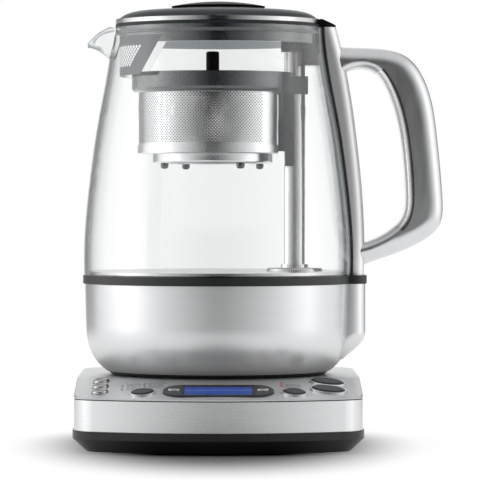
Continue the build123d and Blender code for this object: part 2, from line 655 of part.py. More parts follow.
for name, x in ARROWS.items():
    with BuildPart() as arrow_button:
        with BuildSketch(bezel_plane.offset(-STEM_DEPTH)):
            with Locations((x, 0)):
                Ellipse(ARROW_LONG / 2 - FIT, ARROW_WIDE / 2 - FIT)
        extrude(amount=STEM_DEPTH + BEZEL_PROUD + ARROW_PROUD)
        fillet(arrow_button.faces().sort_by(panel_up)[-1].edges(), 0.85 * ARROW_PROUD)
        with BuildSketch(bezel_plane.offset(-SHELL_WALL - FIT)):
            with Locations((x, 0)):
                Ellipse(ARROW_LONG / 2 + FLANGE_OUT / 2, ARROW_WIDE / 2 + FLANGE_OUT)
        extrude(amount=-FLANGE_H)
    arrow_button.part.label = name
    export_step(arrow_button.part, f"parts/{name}.step")

with BuildPart() as board_bounds:
    extrude(base_plan(CASE_TOP_Z, 2 * CAVITY_INSET), amount=DECK_Z)

switch_gap = STEM_DEPTH + BUTTON_TRAVEL + FIT
switches = [on_panel(x, y, -switch_gap) for x, y, *rest in BUTTONS.values()]
for x in ARROWS.values():
    under_arrow = bezel_plane.offset(-switch_gap).from_local_coords(Vector(x, 0, 0))
    switches.append(Plane(under_arrow, (1, 0, 0), bezel_plane.z_dir))
with BuildPart() as control_board:
    for plane in switches:
        with BuildSketch(plane):
            Rectangle(*SWITCH_SIZE)
        extrude(amount=-2 * BOARD_DEPTH)
    split(bisect_by=board_plane, keep=Keep.TOP)
    with BuildSketch(board_plane):
        with Locations((0, (BOARD_Y - BEZEL_Y) / cos(PANEL_TILT))):
            Rectangle(BOARD_LONG, BOARD_DEEP)
    extrude(amount=-BOARD_THICK)
    add(board_bounds.part, mode=Mode.INTERSECT)
control_board.part.label = "control_board"
export_step(control_board.part, "parts/control_board.step")

# ---------------------------------------------------------------- power base: connector and power
with BuildPart() as base_connector:
    with BuildSketch(Plane.XZ):
        with BuildLine():
            Polyline((0, DECK_UNDER_Z - CONNECTOR_FLANGE_H), (0, MALE_TOP_Z), (MALE_PIN_R, MALE_TOP_Z),
                     (MALE_PIN_R, GROOVE_FLOOR_Z), (MALE_GROOVE_R, GROOVE_FLOOR_Z),
                     (MALE_GROOVE_R, MALE_TOP_Z), (MALE_R, MALE_TOP_Z), (MALE_R, DECK_UNDER_Z),
                     (CONNECTOR_FLANGE_R, DECK_UNDER_Z),
                     (CONNECTOR_FLANGE_R, DECK_UNDER_Z - CONNECTOR_FLANGE_H), close=True)
        make_face()
    revolve(axis=Axis.Z)
    fillet(base_connector.edges().group_by(Axis.Z)[-1], CONNECTOR_EDGE_R)
base_connector.part.label = "base_connector"
export_step(base_connector.part, "parts/base_connector.step")

case_floor_z = FOOT_PROUD + CASE_WALL
board_long, board_deep = POWER_BOARD_SIZE
with BuildPart() as power_board:
    with BuildSketch(Plane.XY.offset(case_floor_z)):
        with Locations((0, POWER_BOARD_Y)):
            with GridLocations(board_long - 4 * POWER_POST_R, board_deep - 4 * POWER_POST_R, 2, 2):
                Circle(POWER_POST_R)
    extrude(amount=POWER_BOARD_Z - case_floor_z)
    with BuildSketch(Plane.XY.offset(POWER_BOARD_Z)):
        with Locations((0, POWER_BOARD_Y)):
            Rectangle(board_long, board_deep)
    extrude(amount=BOARD_THICK)
    with BuildSketch(Plane.XY.offset(POWER_BOARD_Z + BOARD_THICK)):
        with Locations((TRANSFORMER_X, POWER_BOARD_Y)):
            Rectangle(*TRANSFORMER_SIZE)
        with Locations((CAPACITOR_AT[0], POWER_BOARD_Y + CAPACITOR_AT[1])):
            Circle(CAPACITOR_R)
        with Locations((RELAY_AT[0], POWER_BOARD_Y + RELAY_AT[1])):
            Rectangle(*RELAY_SIZE)
    extrude(amount=POWER_PARTS_H)
power_board.part.label = "power_board"
export_step(power_board.part, "parts/power_board.step")

socket_roof_z = MALE_TOP_Z + 2 * RUN
sleeve_foot_z = GROOVE_FLOOR_Z + FEMALE_SLEEVE_GAP
with BuildPart() as jug_socket:
    with BuildSketch(Plane.XZ):
        with BuildLine():
            Polyline((0, socket_roof_z), (0, FEMALE_TOP_Z), (FEMALE_R, FEMALE_TOP_Z), (FEMALE_R, PLINTH_Z),
                     (MALE_R + RUN, PLINTH_Z), (MALE_R + RUN, socket_roof_z),
                     (FEMALE_WALL_R, socket_roof_z), (FEMALE_WALL_R, sleeve_foot_z),
                     (FEMALE_WALL_R - FEMALE_SLEEVE_WALL, sleeve_foot_z),
                     (FEMALE_WALL_R - FEMALE_SLEEVE_WALL, socket_roof_z), close=True)
        make_face()
    revolve(axis=Axis.Z)
    with BuildSketch(Plane.XY.offset(PLINTH_TOP_Z + RUN)):
        Circle(FEMALE_R + FEMALE_LIP)
        Circle(MALE_R + 2 * RUN, mode=Mode.SUBTRACT)
    extrude(amount=FEMALE_LIP)
jug_socket.part.label = "jug_socket"
export_step(jug_socket.part, "parts/jug_socket.step")


# ---------------------------------------------------------------- jug: shared shapes
def pulled(point, pull):
    """Control point of a curve: pull away from one of its ends."""
    return (point[0] + pull[0], point[1] + pull[1])


def skirt_bulk(inset):
    """Steel skirt with its bulge as one solid, drawn in by inset all round."""
    with BuildPart() as bulk:
        with BuildSketch(Plane.XZ) as profile:
            foot = (SKIRT_FOOT_R - inset, SKIRT_FOOT_Z)
            turn = (SKIRT_TOP_R - SKIRT_TURN_IN - inset, SKIRT_TURN_Z)
            with BuildLine():
                Bezier(foot, pulled(foot, SKIRT_FOOT_PULL), pulled(turn, SKIRT_TURN_PULL), turn)
                Polyline(turn, (SKIRT_TOP_R - inset, SKIRT_TOP_Z), (0, SKIRT_TOP_Z), (0, SKIRT_FOOT_Z), foot)
            make_face()
        revolve(axis=Axis.Z)
        with BuildSketch(Plane.XZ) as side:
            knee = (BULGE_X - inset, BULGE_KNEE_Z)
            heel = (SKIRT_FOOT_R + BULGE_HEEL - inset, SKIRT_FOOT_Z + BULGE_HEEL)
            with BuildLine():
                Bezier(knee, pulled(knee, BULGE_KNEE_PULL), pulled(knee, BULGE_HEEL_PULL), heel)
                Polyline(heel, (SKIRT_FOOT_R / 2, heel[1]), (SKIRT_FOOT_R / 2, SKIRT_TOP_Z),
                         (BULGE_X - inset, SKIRT_TOP_Z), knee)
            make_face()
        bulge = extrude(side.sketch, amount=BULGE_HALF - inset, both=True, mode=Mode.PRIVATE)
        outer_edges = bulge.edges().filter_by(Axis.Z).group_by(Axis.X)[-1]
        add(bulge.fillet(BULGE_EDGE_R - inset, outer_edges))
    return bulk.part


def glass_face(inset, past=0.0):
    """Half section of all that the glass outline holds, drawn in by inset and run past both ends."""
    points = [(r - inset, z) for r, z in GLASS_OUTLINE]
    (foot_r, foot_z), (top_r, top_z) = points[0], points[-1]
    with BuildSketch(Plane.XZ) as face:
        with BuildLine():
            Spline(*points)
            Polyline((top_r, top_z), (0, top_z), (0, foot_z), (foot_r, foot_z))
        make_face()
        if past:
            with Locations((top_r / 2, top_z + past / 2)):
                Rectangle(top_r, past)
            with Locations((foot_r / 2, foot_z - past / 2)):
                Rectangle(foot_r, past)
    return face.sketch


# ---------------------------------------------------------------- jug: lower housing
with BuildPart() as steel_skirt:
    add(skirt_bulk(0))
    add(skirt_bulk(SKIRT_WALL), mode=Mode.SUBTRACT)
steel_skirt.part.label = "steel_skirt"
export_step(steel_skirt.part, "parts/steel_skirt.step")

with BuildPart() as plinth:
    with BuildSketch(Plane.XZ):
        with BuildLine():
            Polyline((FEMALE_R + RUN, PLINTH_Z), (PLINTH_R, PLINTH_Z), (PLINTH_EDGE_R, PLINTH_Z + PLINTH_EDGE_H),
                     (SKIRT_FOOT_R - SKIRT_WALL - FIT, PLINTH_Z + PLINTH_EDGE_H),
                     (SKIRT_FOOT_R - SKIRT_WALL - FIT, PLINTH_TOP_Z), (FEMALE_R + RUN, PLINTH_TOP_Z), close=True)
        make_face()
    revolve(axis=Axis.Z)
    with BuildSketch(Plane.XY.offset(PLINTH_Z)):
        with PolarLocations(FRAME_LEG_CIRCLE_R, 4, start_angle=45):
            Circle(SCREW_R + FIT)
    extrude(amount=PLINTH_THICK, mode=Mode.SUBTRACT)
    with BuildSketch(Plane.XY.offset(PLINTH_Z)):
        with PolarLocations(FRAME_LEG_CIRCLE_R, 4, start_angle=45):
            Circle(SCREW_HEAD_R + FIT)
    extrude(amount=PLINTH_THICK / 2, mode=Mode.SUBTRACT)
plinth.part.label = "plinth"
export_step(plinth.part, "parts/plinth.step")

with BuildPart() as plinth_screws:
    with BuildSketch(Plane.XY.offset(PLINTH_Z + PLINTH_THICK / 2)):
        with PolarLocations(FRAME_LEG_CIRCLE_R, 4, start_angle=45):
            Circle(SCREW_R)
    extrude(amount=PLINTH_SCREW_LEN)
    with BuildSketch(Plane.XY.offset(PLINTH_Z + FIT)):
        with PolarLocations(FRAME_LEG_CIRCLE_R, 4, start_angle=45):
            Circle(SCREW_HEAD_R)
    extrude(amount=PLINTH_THICK / 2 - FIT)
plinth_screws.part.label = "plinth_screws"
export_step(plinth_screws.part, "parts/plinth_screws.step")

with BuildPart() as inner_frame:
    with BuildSketch(Plane.XY.offset(FRAME_Z)):
        Circle(FRAME_R)
        with Locations((POST_X, 0)):
            Circle(MOTOR_R + RUN, mode=Mode.SUBTRACT)
        Circle(FEMALE_R, mode=Mode.SUBTRACT)
    extrude(amount=FRAME_THICK)
    with BuildSketch(Plane.XY.offset(FRAME_TOP_Z)):
        Circle(FRAME_R)
        Circle(FRAME_R - FRAME_THICK, mode=Mode.SUBTRACT)
    extrude(amount=FLOOR_Z - FRAME_TOP_Z)
    with BuildSketch(Plane.XY.offset(PLINTH_TOP_Z)):
        with PolarLocations(FRAME_LEG_CIRCLE_R, 4, start_angle=45):
            Circle(FRAME_LEG_R)
            Circle(SCREW_R, mode=Mode.SUBTRACT)
    extrude(amount=FRAME_Z - PLINTH_TOP_Z)
inner_frame.part.label = "inner_frame"
export_step(inner_frame.part, "parts/inner_frame.step")

with BuildPart() as seal_ring:
    with BuildSketch(Plane.XZ):
        with BuildLine():
            Polyline((SEAL_IN_R, SEAL_Z), (SEAL_R, SEAL_Z), (SEAL_R, SEAL_TOP_Z), (SEAL_LEDGE_R, SEAL_TOP_Z),
                     (SEAL_LEDGE_R, FLOOR_Z), (SEAL_IN_R, FLOOR_Z), close=True)
        make_face()
    revolve(axis=Axis.Z)
    with BuildSketch(Plane.XY.offset(SEAL_Z)):
        with Locations(((SEAL_IN_R + TAB_X) / 2, 0)):
            Rectangle(TAB_X - SEAL_IN_R, 2 * TAB_HALF)
        Circle(SEAL_LEDGE_R, mode=Mode.SUBTRACT)
    extrude(amount=SEAL_H)
    fillet(seal_ring.edges().filter_by(Axis.Z).group_by(Axis.X)[-1], BULGE_EDGE_R)
seal_ring.part.label = "seal_ring"
export_step(seal_ring.part, "parts/seal_ring.step")

# ---------------------------------------------------------------- jug: floor, heater and drive
with BuildPart() as heating_plate:
    with BuildSketch(Plane.XY.offset(FLOOR_Z)):
        Circle(FLOOR_R)
    extrude(amount=FLOOR_THICK)
    with BuildSketch(Plane.XY.offset(FLOOR_TOP_Z)):
        with Locations((POST_X, 0)):
            Circle(POST_FOOT_R)
    extrude(amount=POST_FOOT_H)
    fillet(heating_plate.edges().group_by(Axis.Z)[-1], POST_FOOT_H * 0.7)
    with BuildSketch(Plane.XY.offset(FLOOR_Z)):
        with Locations((POST_X, 0)):
            Ellipse(POST_LONG / 2 + FIT, POST_WIDE / 2 + FIT)
    extrude(amount=2 * (FLOOR_THICK + POST_FOOT_H), mode=Mode.SUBTRACT)
heating_plate.part.label = "heating_plate"
export_step(heating_plate.part, "parts/heating_plate.step")

with BuildPart() as heating_element:
    with BuildSketch(Plane.XZ.rotated((0, 0, (360 - ELEMENT_ARC) / 2))):
        with Locations((ELEMENT_R, ELEMENT_Z)):
            Circle(ELEMENT_TUBE_R)
    revolve(axis=Axis.Z, revolution_arc=ELEMENT_ARC)
    with BuildSketch(Plane.XY.offset(ELEMENT_Z)):
        with PolarLocations(ELEMENT_R, 2, start_angle=(360 - ELEMENT_ARC) / 2, angular_range=ELEMENT_ARC,
                            endpoint=True):
            Circle(ELEMENT_TUBE_R * 0.7)
    extrude(amount=-ELEMENT_PIN_LEN)
heating_element.part.label = "heating_element"
export_step(heating_element.part, "parts/heating_element.step")

with BuildPart() as temperature_sensor:
    with BuildSketch(Plane.XY.offset(FLOOR_Z)):
        with Locations((SENSOR_X, 0)):
            Circle(SENSOR_R)
    extrude(amount=-SENSOR_H)
    chamfer(temperature_sensor.edges().group_by(Axis.Z)[0], SENSOR_H / 4)
temperature_sensor.part.label = "temperature_sensor"
export_step(temperature_sensor.part, "parts/temperature_sensor.step")

with BuildPart() as lift_motor:
    with BuildSketch(Plane.XY.offset(FRAME_TOP_Z)):
        with Locations((POST_X, 0)):
            Circle(MOTOR_R)
    extrude(amount=-MOTOR_H)
    fillet(lift_motor.edges().group_by(Axis.Z)[0], MOTOR_EDGE_R)
    with BuildSketch(Plane.XY.offset(FRAME_TOP_Z)):
        with Locations((POST_X, 0)):
            Circle(MOTOR_FLANGE_R)
    extrude(amount=MOTOR_FLANGE_H)
    with BuildSketch(Plane.XY.offset(MOTOR_TOP_Z)):
        with Locations((POST_X, 0)):
            Circle(LIFT_SCREW_R + SHAFT_RUN)
    extrude(amount=-SHAFT_DEPTH - RUN, mode=Mode.SUBTRACT)
lift_motor.part.label = "lift_motor"
export_step(lift_motor.part, "parts/lift_motor.step")

with BuildPart() as lift_post:
    with BuildSketch(Plane.XY.offset(MOTOR_TOP_Z)):
        with Locations((POST_X, 0)):
            Ellipse(POST_LONG / 2, POST_WIDE / 2)
    extrude(amount=POST_TOP_Z - MOTOR_TOP_Z)
    fillet(lift_post.edges().group_by(Axis.Z)[-1], POST_WALL / 2)
    with BuildSketch(Plane.XY.offset(MOTOR_TOP_Z)):
        with Locations((POST_X, 0)):
            SlotOverall(POST_LONG - 2 * POST_WALL, POST_WIDE - 2 * POST_WALL)
    extrude(amount=POST_TOP_Z - MOTOR_TOP_Z - POST_WALL, mode=Mode.SUBTRACT)
    with BuildSketch(Plane.XY.offset(FLOOR_TOP_Z + POST_FOOT_H)):
        with Locations((POST_X, 0)):
            Ellipse(POST_LONG / 2 + 2 * POST_WALL, POST_WIDE / 2 + 2 * POST_WALL)
            Ellipse(POST_LONG / 2, POST_WIDE / 2, mode=Mode.SUBTRACT)
    extrude(amount=2 * POST_WALL)
lift_post.part.label = "lift_post"
export_step(lift_post.part, "parts/lift_post.step")

screw_top_z = POST_TOP_Z - POST_WALL - 2 * RUN
with BuildPart() as lift_screw:
    with BuildSketch(Plane.XY.offset(MOTOR_TOP_Z - SHAFT_DEPTH)):
        with Locations((POST_X, 0)):
            Circle(LIFT_SCREW_R)
    extrude(amount=screw_top_z - MOTOR_TOP_Z + SHAFT_DEPTH)
    with BuildSketch(Plane.XY.offset(MOTOR_TOP_Z + RUN)):
        with Locations((POST_X, 0)):
            Circle(POST_WIDE / 2 - POST_WALL - RUN)
    extrude(amount=COUPLING_H)
lift_screw.part.label = "lift_screw"
export_step(lift_screw.part, "parts/lift_screw.step")

with BuildPart() as lift_nut:
    with BuildSketch(Plane.XY.offset(MAGNET_Z)):
        with Locations((POST_X, 0)):
            SlotOverall(POST_LONG - 2 * POST_WALL - 2 * SHAFT_RUN, POST_WIDE - 2 * POST_WALL - 2 * SHAFT_RUN)
            Circle(LIFT_SCREW_R + SHAFT_RUN, mode=Mode.SUBTRACT)
    extrude(amount=MAGNET_SIZE[2])
lift_nut.part.label = "lift_nut"
export_step(lift_nut.part, "parts/lift_nut.step")

# ---------------------------------------------------------------- jug: glass with its pulled spout
def spout_section(reach, half, foot, top):
    """Upright section of the spout at distance reach from the axis: flat top, half-oval foot."""
    plane = Plane(origin=(-reach, 0, 0), x_dir=(0, 1, 0), z_dir=(1, 0, 0))
    with BuildSketch(plane) as section:
        with Locations((0, top)):
            Ellipse(half, top - foot)
            Rectangle(2 * half + EPS, 2 * (top - foot), align=(Align.CENTER, Align.MIN), mode=Mode.SUBTRACT)
    return section.sketch


with BuildPart() as spout_outer:
    loft([spout_section(SPOUT_ROOT_X, SPOUT_ROOT_HALF, SPOUT_ROOT_Z, GLASS_TOP_Z - 2 * HAIR),
          spout_section(SPOUT_MID_X, SPOUT_MID_HALF, SPOUT_MID_Z, SPOUT_MID_TOP_Z),
          spout_section(SPOUT_TIP_X, SPOUT_TIP_HALF, SPOUT_TIP_Z, SPOUT_TIP_Z + SPOUT_WALL)])
    split(bisect_by=Plane.XY.offset(GLASS_TOP_Z), keep=Keep.BOTTOM)
cut_top_z = GLASS_TOP_Z + SPOUT_CUT_H
lip_z = SPOUT_TIP_Z + SPOUT_WALL - SPOUT_LIP_DROP
with BuildPart() as spout_inner:
    loft([spout_section(SPOUT_ROOT_X, SPOUT_ROOT_HALF - SPOUT_WALL, SPOUT_ROOT_Z + SPOUT_WALL, cut_top_z),
          spout_section(SPOUT_MID_X, SPOUT_MID_HALF - SPOUT_WALL, SPOUT_MID_Z + SPOUT_WALL, cut_top_z),
          spout_section(SPOUT_TIP_X + SPOUT_LIP_OUT, SPOUT_TIP_HALF - SPOUT_LIP_WALL, lip_z, cut_top_z)])
with BuildPart() as glass_jug:
    revolve(glass_face(0), axis=Axis.Z)
    add(spout_outer.part)
    revolve(glass_face(GLASS_WALL, past=4 * EPS), axis=Axis.Z, mode=Mode.SUBTRACT)
    add(spout_inner.part, mode=Mode.SUBTRACT)
glass_jug.part.label = "glass_jug"
export_step(glass_jug.part, "parts/glass_jug.step")


# ---------------------------------------------------------------- jug: spine and handle
def spine_face(gap=0.0):
    """Side view of the spine down to its back line, with its outer edge moved out by gap."""
    points = [(x + gap, z) for x, z in SPINE_OUTLINE]
    back_x = GLASS_TOP_R / 2
    with BuildSketch(Plane.XZ) as face:
        with BuildLine():
            Spline(*points)
            Polyline(points[-1], (back_x, points[-1][1]), (back_x, points[0][1]), points[0])
        make_face()
    return face.sketch


def spine_bulk(gap=0.0):
    """The spine with its rounded edges, grown outwards by gap, before the glass is cut out of it."""
    with BuildPart() as bulk:
        extrude(spine_face(gap), amount=SPINE_WIDTH / 2 + gap, both=True)
        fillet(bulk.faces().filter_by(Axis.Y).edges().sort_by(Axis.X)[-2:], SPINE_EDGE_R)
    return bulk.part


def handle_face():
    """Side view of the handle's open loop, its two ends run into the spine."""
    with BuildSketch(Plane.XZ) as face:
        with BuildLine():
            Spline(*HANDLE_OUTER)
            Line(HANDLE_OUTER[-1], HANDLE_INNER[-1])
            Spline(*HANDLE_INNER)
            Line(HANDLE_INNER[0], HANDLE_OUTER[0])
        make_face()
    return face.sketch


def moved_out(points, amount):
    """Inner points of an outline, moved square to it, to the left of its direction."""
    moved = []
    for before, (x, z), after in zip(points, points[1:], points[2:]):
        dx = after[0] - before[0]
        dz = after[1] - before[1]
        moved.append((x - amount * dz / hypot(dx, dz), z + amount * dx / hypot(dx, dz)))
    return moved


def trim_face(grow):
    """Side view of the strip that lines the grip, grown by its fitting gap."""
    lining = moved_out(HANDLE_INNER, TRIM_WALL + grow)
    top_cut = [(GLASS_FOOT_R + x, z + 2 * grow) for x, z in TRIM_TOP_CUT]
    foot_cut = [(GLASS_FOOT_R + x, z - 2 * grow) for x, z in TRIM_FOOT_CUT]
    past_x = 2 * GLASS_FOOT_R
    with BuildSketch(Plane.XZ) as face:
        with BuildLine():
            Spline(*lining)
            Line(lining[-1], lining[0])
        make_face()
        with BuildLine():
            Spline(*HANDLE_INNER)
            Line(HANDLE_INNER[-1], HANDLE_INNER[0])
        make_face(mode=Mode.SUBTRACT)
        with BuildLine():
            Polyline(*top_cut, (past_x, top_cut[1][1]), (past_x, foot_cut[1][1]), *reversed(foot_cut), close=True)
        make_face(mode=Mode.INTERSECT)
    return face.sketch


def screw_plane(z):
    """Plane square to the handle's screws, at the spine's outer edge."""
    return Plane(origin=(GLASS_TOP_R, 0, z), x_dir=(0, 1, 0), z_dir=(1, 0, 0))


with BuildPart() as glass_clear:
    revolve(glass_face(-SPINE_GASKET, past=4 * EPS), axis=Axis.Z)

with BuildPart() as handle_spine:
    add(spine_bulk())
    add(glass_clear.part, mode=Mode.SUBTRACT)
    for z in HANDLE_SCREWS_Z:
        with BuildSketch(screw_plane(z)):
            Circle(HANDLE_SCREW_R)
        extrude(amount=2 * HANDLE_SCREW_REACH + GLASS_TOP_R, mode=Mode.SUBTRACT)
handle_spine.part.label = "handle_spine"
export_step(handle_spine.part, "parts/handle_spine.step")

with BuildPart() as spine_gasket:
    revolve(glass_face(-SPINE_GASKET + HAIR), axis=Axis.Z)
    revolve(glass_face(-2 * HAIR, past=EPS), axis=Axis.Z, mode=Mode.SUBTRACT)
    with BuildSketch(Plane.XY.offset(SEAL_TOP_Z)):
        Rectangle(2 * BASE_WIDTH, SPINE_WIDTH + 2 * SPINE_GASKET_LIP, align=(Align.MIN, Align.CENTER))
    extrude(amount=GLASS_TOP_Z - SEAL_TOP_Z, mode=Mode.INTERSECT)
spine_gasket.part.label = "spine_gasket"
export_step(spine_gasket.part, "parts/spine_gasket.step")

spine_top_x, spine_top_z = SPINE_OUTLINE[0]
cap_z = spine_top_z + HAIR
with BuildPart() as spine_cap:
    with BuildSketch(Plane.XZ):
        with BuildLine():
            Polyline((LID_R - LID_WALL, cap_z), (spine_top_x, cap_z), (spine_top_x, cap_z + CAP_EDGE_H),
                     (LID_R + RUN, CAP_TOP_Z), (LID_R - LID_WALL, CAP_TOP_Z), close=True)
        make_face()
    extrude(amount=SPINE_WIDTH / 2, both=True)
    fillet(spine_cap.edges().filter_by(Axis.Z).group_by(Axis.X)[-1], SPINE_EDGE_R - HAIR)
    with BuildSketch(Plane.XY.offset(cap_z)):
        Circle(LID_R + RUN)
    extrude(amount=CAP_TOP_Z - cap_z, mode=Mode.SUBTRACT)
spine_cap.part.label = "spine_cap"
export_step(spine_cap.part, "parts/spine_cap.step")

with BuildPart() as handle_shell:
    extrude(handle_face(), amount=HANDLE_WIDTH / 2, both=True)
    sides = handle_shell.faces().filter_by(Axis.Y)
    fillet(sides.edges().filter_by(GeomType.BSPLINE).sort_by(SortBy.LENGTH)[-2:], HANDLE_OUTER_R)
    sides = handle_shell.faces().filter_by(Axis.Y)
    fillet(sides.edges().sort_by(SortBy.LENGTH)[-4:-2], HANDLE_INNER_R)
    add(spine_bulk(FIT / 2), mode=Mode.SUBTRACT)
    extrude(trim_face(FIT), amount=HANDLE_WIDTH, both=True, mode=Mode.SUBTRACT)
    for z in HANDLE_SCREWS_Z:
        with BuildSketch(screw_plane(z)):
            Circle(HANDLE_SCREW_R)
        extrude(amount=SPINE_OUTLINE[-1][0] - GLASS_TOP_R + HANDLE_SCREW_REACH, mode=Mode.SUBTRACT)
handle_shell.part.label = "handle_shell"
export_step(handle_shell.part, "parts/handle_shell.step")

with BuildPart() as handle_trim:
    extrude(trim_face(0), amount=TRIM_WIDTH / 2, both=True)
    grip_edges = handle_trim.faces().filter_by(Axis.Y).edges().sort_by(SortBy.LENGTH)[-4:].sort_by(Axis.X)[:2]
    fillet(grip_edges, TRIM_EDGE_R)
handle_trim.part.label = "handle_trim"
export_step(handle_trim.part, "parts/handle_trim.step")

with BuildPart() as handle_screws:
    for z in HANDLE_SCREWS_Z:
        with BuildSketch(screw_plane(z)):
            Circle(HANDLE_SCREW_R - FIT)
        extrude(amount=SPINE_OUTLINE[-1][0] - GLASS_TOP_R + HANDLE_SCREW_REACH - FIT)
    add(glass_clear.part, mode=Mode.SUBTRACT)
handle_screws.part.label = "handle_screws"
export_step(handle_screws.part, "parts/handle_screws.step")


# ---------------------------------------------------------------- jug lid
def dome_face(inset):
    """Half section of all that lies under the lid's dome, drawn in by inset all round."""
    with BuildSketch(Plane.XZ) as face:
        shoulder = (LID_R - LID_TRIM_WALL - FIT, TRIM_Z + LID_TRIM_H - LID_TRIM_PROUD)
        points = [(r - inset, z - inset) for r, z in [shoulder] + DOME_OUTLINE]
        with BuildLine():
            Spline(*points)
            Polyline(points[-1], (0, points[-1][1]), (0, LID_Z - inset), (points[0][0], LID_Z - inset), points[0])
        make_face()
    return face.sketch


with BuildPart() as lid_cap:
    revolve(dome_face(0), axis=Axis.Z)
    with BuildSketch(Plane.XY.offset(LID_Z)):
        Circle(LID_R)
    extrude(amount=LID_EDGE_H)
    revolve(dome_face(LID_WALL), axis=Axis.Z, mode=Mode.SUBTRACT)
lid_cap.part.label = "lid_cap"
export_step(lid_cap.part, "parts/lid_cap.step")

with BuildPart() as lid_trim_ring:
    with BuildSketch(Plane.XY.offset(TRIM_Z)):
        Circle(LID_R)
        Circle(LID_R - LID_TRIM_WALL, mode=Mode.SUBTRACT)
    extrude(amount=LID_TRIM_H)
    fillet(lid_trim_ring.edges().group_by(Axis.Z)[-1], LID_TRIM_WALL / 3)
lid_trim_ring.part.label = "lid_trim_ring"
export_step(lid_trim_ring.part, "parts/lid_trim_ring.step")

with BuildPart() as lid_knob:
    with BuildSketch(Plane.XZ):
        knob_z = DOME_TOP_Z + HAIR
        with BuildLine():
            RadiusArc((KNOB_R, knob_z + KNOB_EDGE_H), (0, knob_z + KNOB_EDGE_H + KNOB_CROWN),
                      -(KNOB_R**2 + KNOB_CROWN**2) / (2 * KNOB_CROWN))
            Polyline((0, knob_z + KNOB_EDGE_H + KNOB_CROWN), (0, knob_z), (KNOB_R - KNOB_BEVEL, knob_z),
                     (KNOB_R, knob_z + KNOB_BEVEL), (KNOB_R, knob_z + KNOB_EDGE_H))
        make_face()
    revolve(axis=Axis.Z)
lid_knob.part.label = "lid_knob"
export_step(lid_knob.part, "parts/lid_knob.step")

strainer_slant = (STRAINER_JOINT_X - STRAINER_FOOT_X) / (STRAINER_JOINT_Z - STRAINER_FOOT_Z)
with BuildPart() as spout_side:
    with BuildSketch(Plane.XZ):
        with BuildLine():
            Polyline((STRAINER_FOOT_X, STRAINER_FOOT_Z), (STRAINER_JOINT_X, STRAINER_JOINT_Z),
                     (-2 * LID_R, STRAINER_JOINT_Z), (-2 * LID_R, STRAINER_FOOT_Z), close=True)
        make_face()
    extrude(amount=LID_R, both=True)

with BuildPart() as lid_plug:
    with BuildSketch(Plane.XY.offset(LID_PLUG_FOOT_Z)):
        Circle(LID_PLUG_R)
        Circle(LID_PLUG_R - LID_PLUG_WALL, mode=Mode.SUBTRACT)
    extrude(amount=LID_Z - LID_PLUG_FOOT_Z)
    add(spout_side.part, mode=Mode.SUBTRACT)
    with BuildSketch(Plane.XY.offset(HOUSING_LOW_Z)) as low_block:
        Circle(HOUSING_R)
        with Locations((HOUSING_STEP_X, 0)):
            Rectangle(HOUSING_R, 2 * HOUSING_HALF, align=(Align.MIN, Align.CENTER), mode=Mode.INTERSECT)
    extrude(amount=LID_Z - HOUSING_LOW_Z)
    with BuildSketch(Plane.XY.offset(HOUSING_FOOT_Z)) as high_block:
        Circle(HOUSING_R)
        with Locations((HOUSING_X, 0)):
            Rectangle(HOUSING_R, 2 * HOUSING_HALF, align=(Align.MIN, Align.CENTER), mode=Mode.INTERSECT)
    extrude(amount=LID_Z - HOUSING_FOOT_Z)
    slot_z = min(HOUSING_LOW_Z, HOUSING_FOOT_Z)
    with BuildSketch(Plane.XY.offset(slot_z)):
        with Locations((POST_X, 0)):
            SlotOverall(POST_LONG + 2 * RUN, POST_WIDE + 2 * RUN)
    extrude(amount=POST_TOP_Z + RUN - slot_z, mode=Mode.SUBTRACT)
    with BuildSketch(Plane.XY.offset(LID_SEAL_Z - FIT / 2)):
        Circle(LID_R)
        Circle(LID_PLUG_R - LID_PLUG_WALL / 2, mode=Mode.SUBTRACT)
    extrude(amount=LID_SEAL_H + FIT, mode=Mode.SUBTRACT)
lid_plug.part.label = "lid_plug"
export_step(lid_plug.part, "parts/lid_plug.step")

with BuildPart() as lid_seal:
    with BuildSketch(Plane.XY.offset(LID_SEAL_Z)):
        Circle(LID_SEAL_R)
        Circle(LID_PLUG_R - LID_PLUG_WALL / 2 + FIT / 2, mode=Mode.SUBTRACT)
    extrude(amount=LID_SEAL_H)
lid_seal.part.label = "lid_seal"
export_step(lid_seal.part, "parts/lid_seal.step")

with BuildPart() as spout_strainer:
    with BuildSketch(Plane.XY.offset(STRAINER_FOOT_Z)):
        Circle(LID_PLUG_R)
        Circle(LID_PLUG_R - STRAINER_WALL, mode=Mode.SUBTRACT)
    extrude(amount=STRAINER_JOINT_Z - STRAINER_FOOT_Z - HAIR)
    add(spout_side.part, mode=Mode.INTERSECT)
    for column in range(-HOLE_COLUMNS, HOLE_COLUMNS + 1):
        turn = column * HOLE_PITCH / 2 / LID_PLUG_R
        low = -HOLE_ROWS / 2 + (0.75 if column % 2 else 0.25)
        heights = [HOLE_Z + (low + row) * HOLE_PITCH for row in range(HOLE_ROWS)]
        holes = []
        for z in heights:
            edge_x = STRAINER_FOOT_X + (z - STRAINER_FOOT_Z) * strainer_slant
            if -LID_PLUG_R * cos(turn) < edge_x - HOLE_MARGIN:
                holes.append((0, z))
        if holes:
            with BuildSketch(Plane(origin=(0, 0, 0), x_dir=(sin(turn), -cos(turn), 0), z_dir=(-cos(turn), -sin(turn), 0))):
                with Locations(*holes):
                    Rectangle(HOLE_SIDE, HOLE_SIDE, rotation=45)
            extrude(amount=LID_R, mode=Mode.SUBTRACT)
spout_strainer.part.label = "spout_strainer"
export_step(spout_strainer.part, "parts/spout_strainer.step")


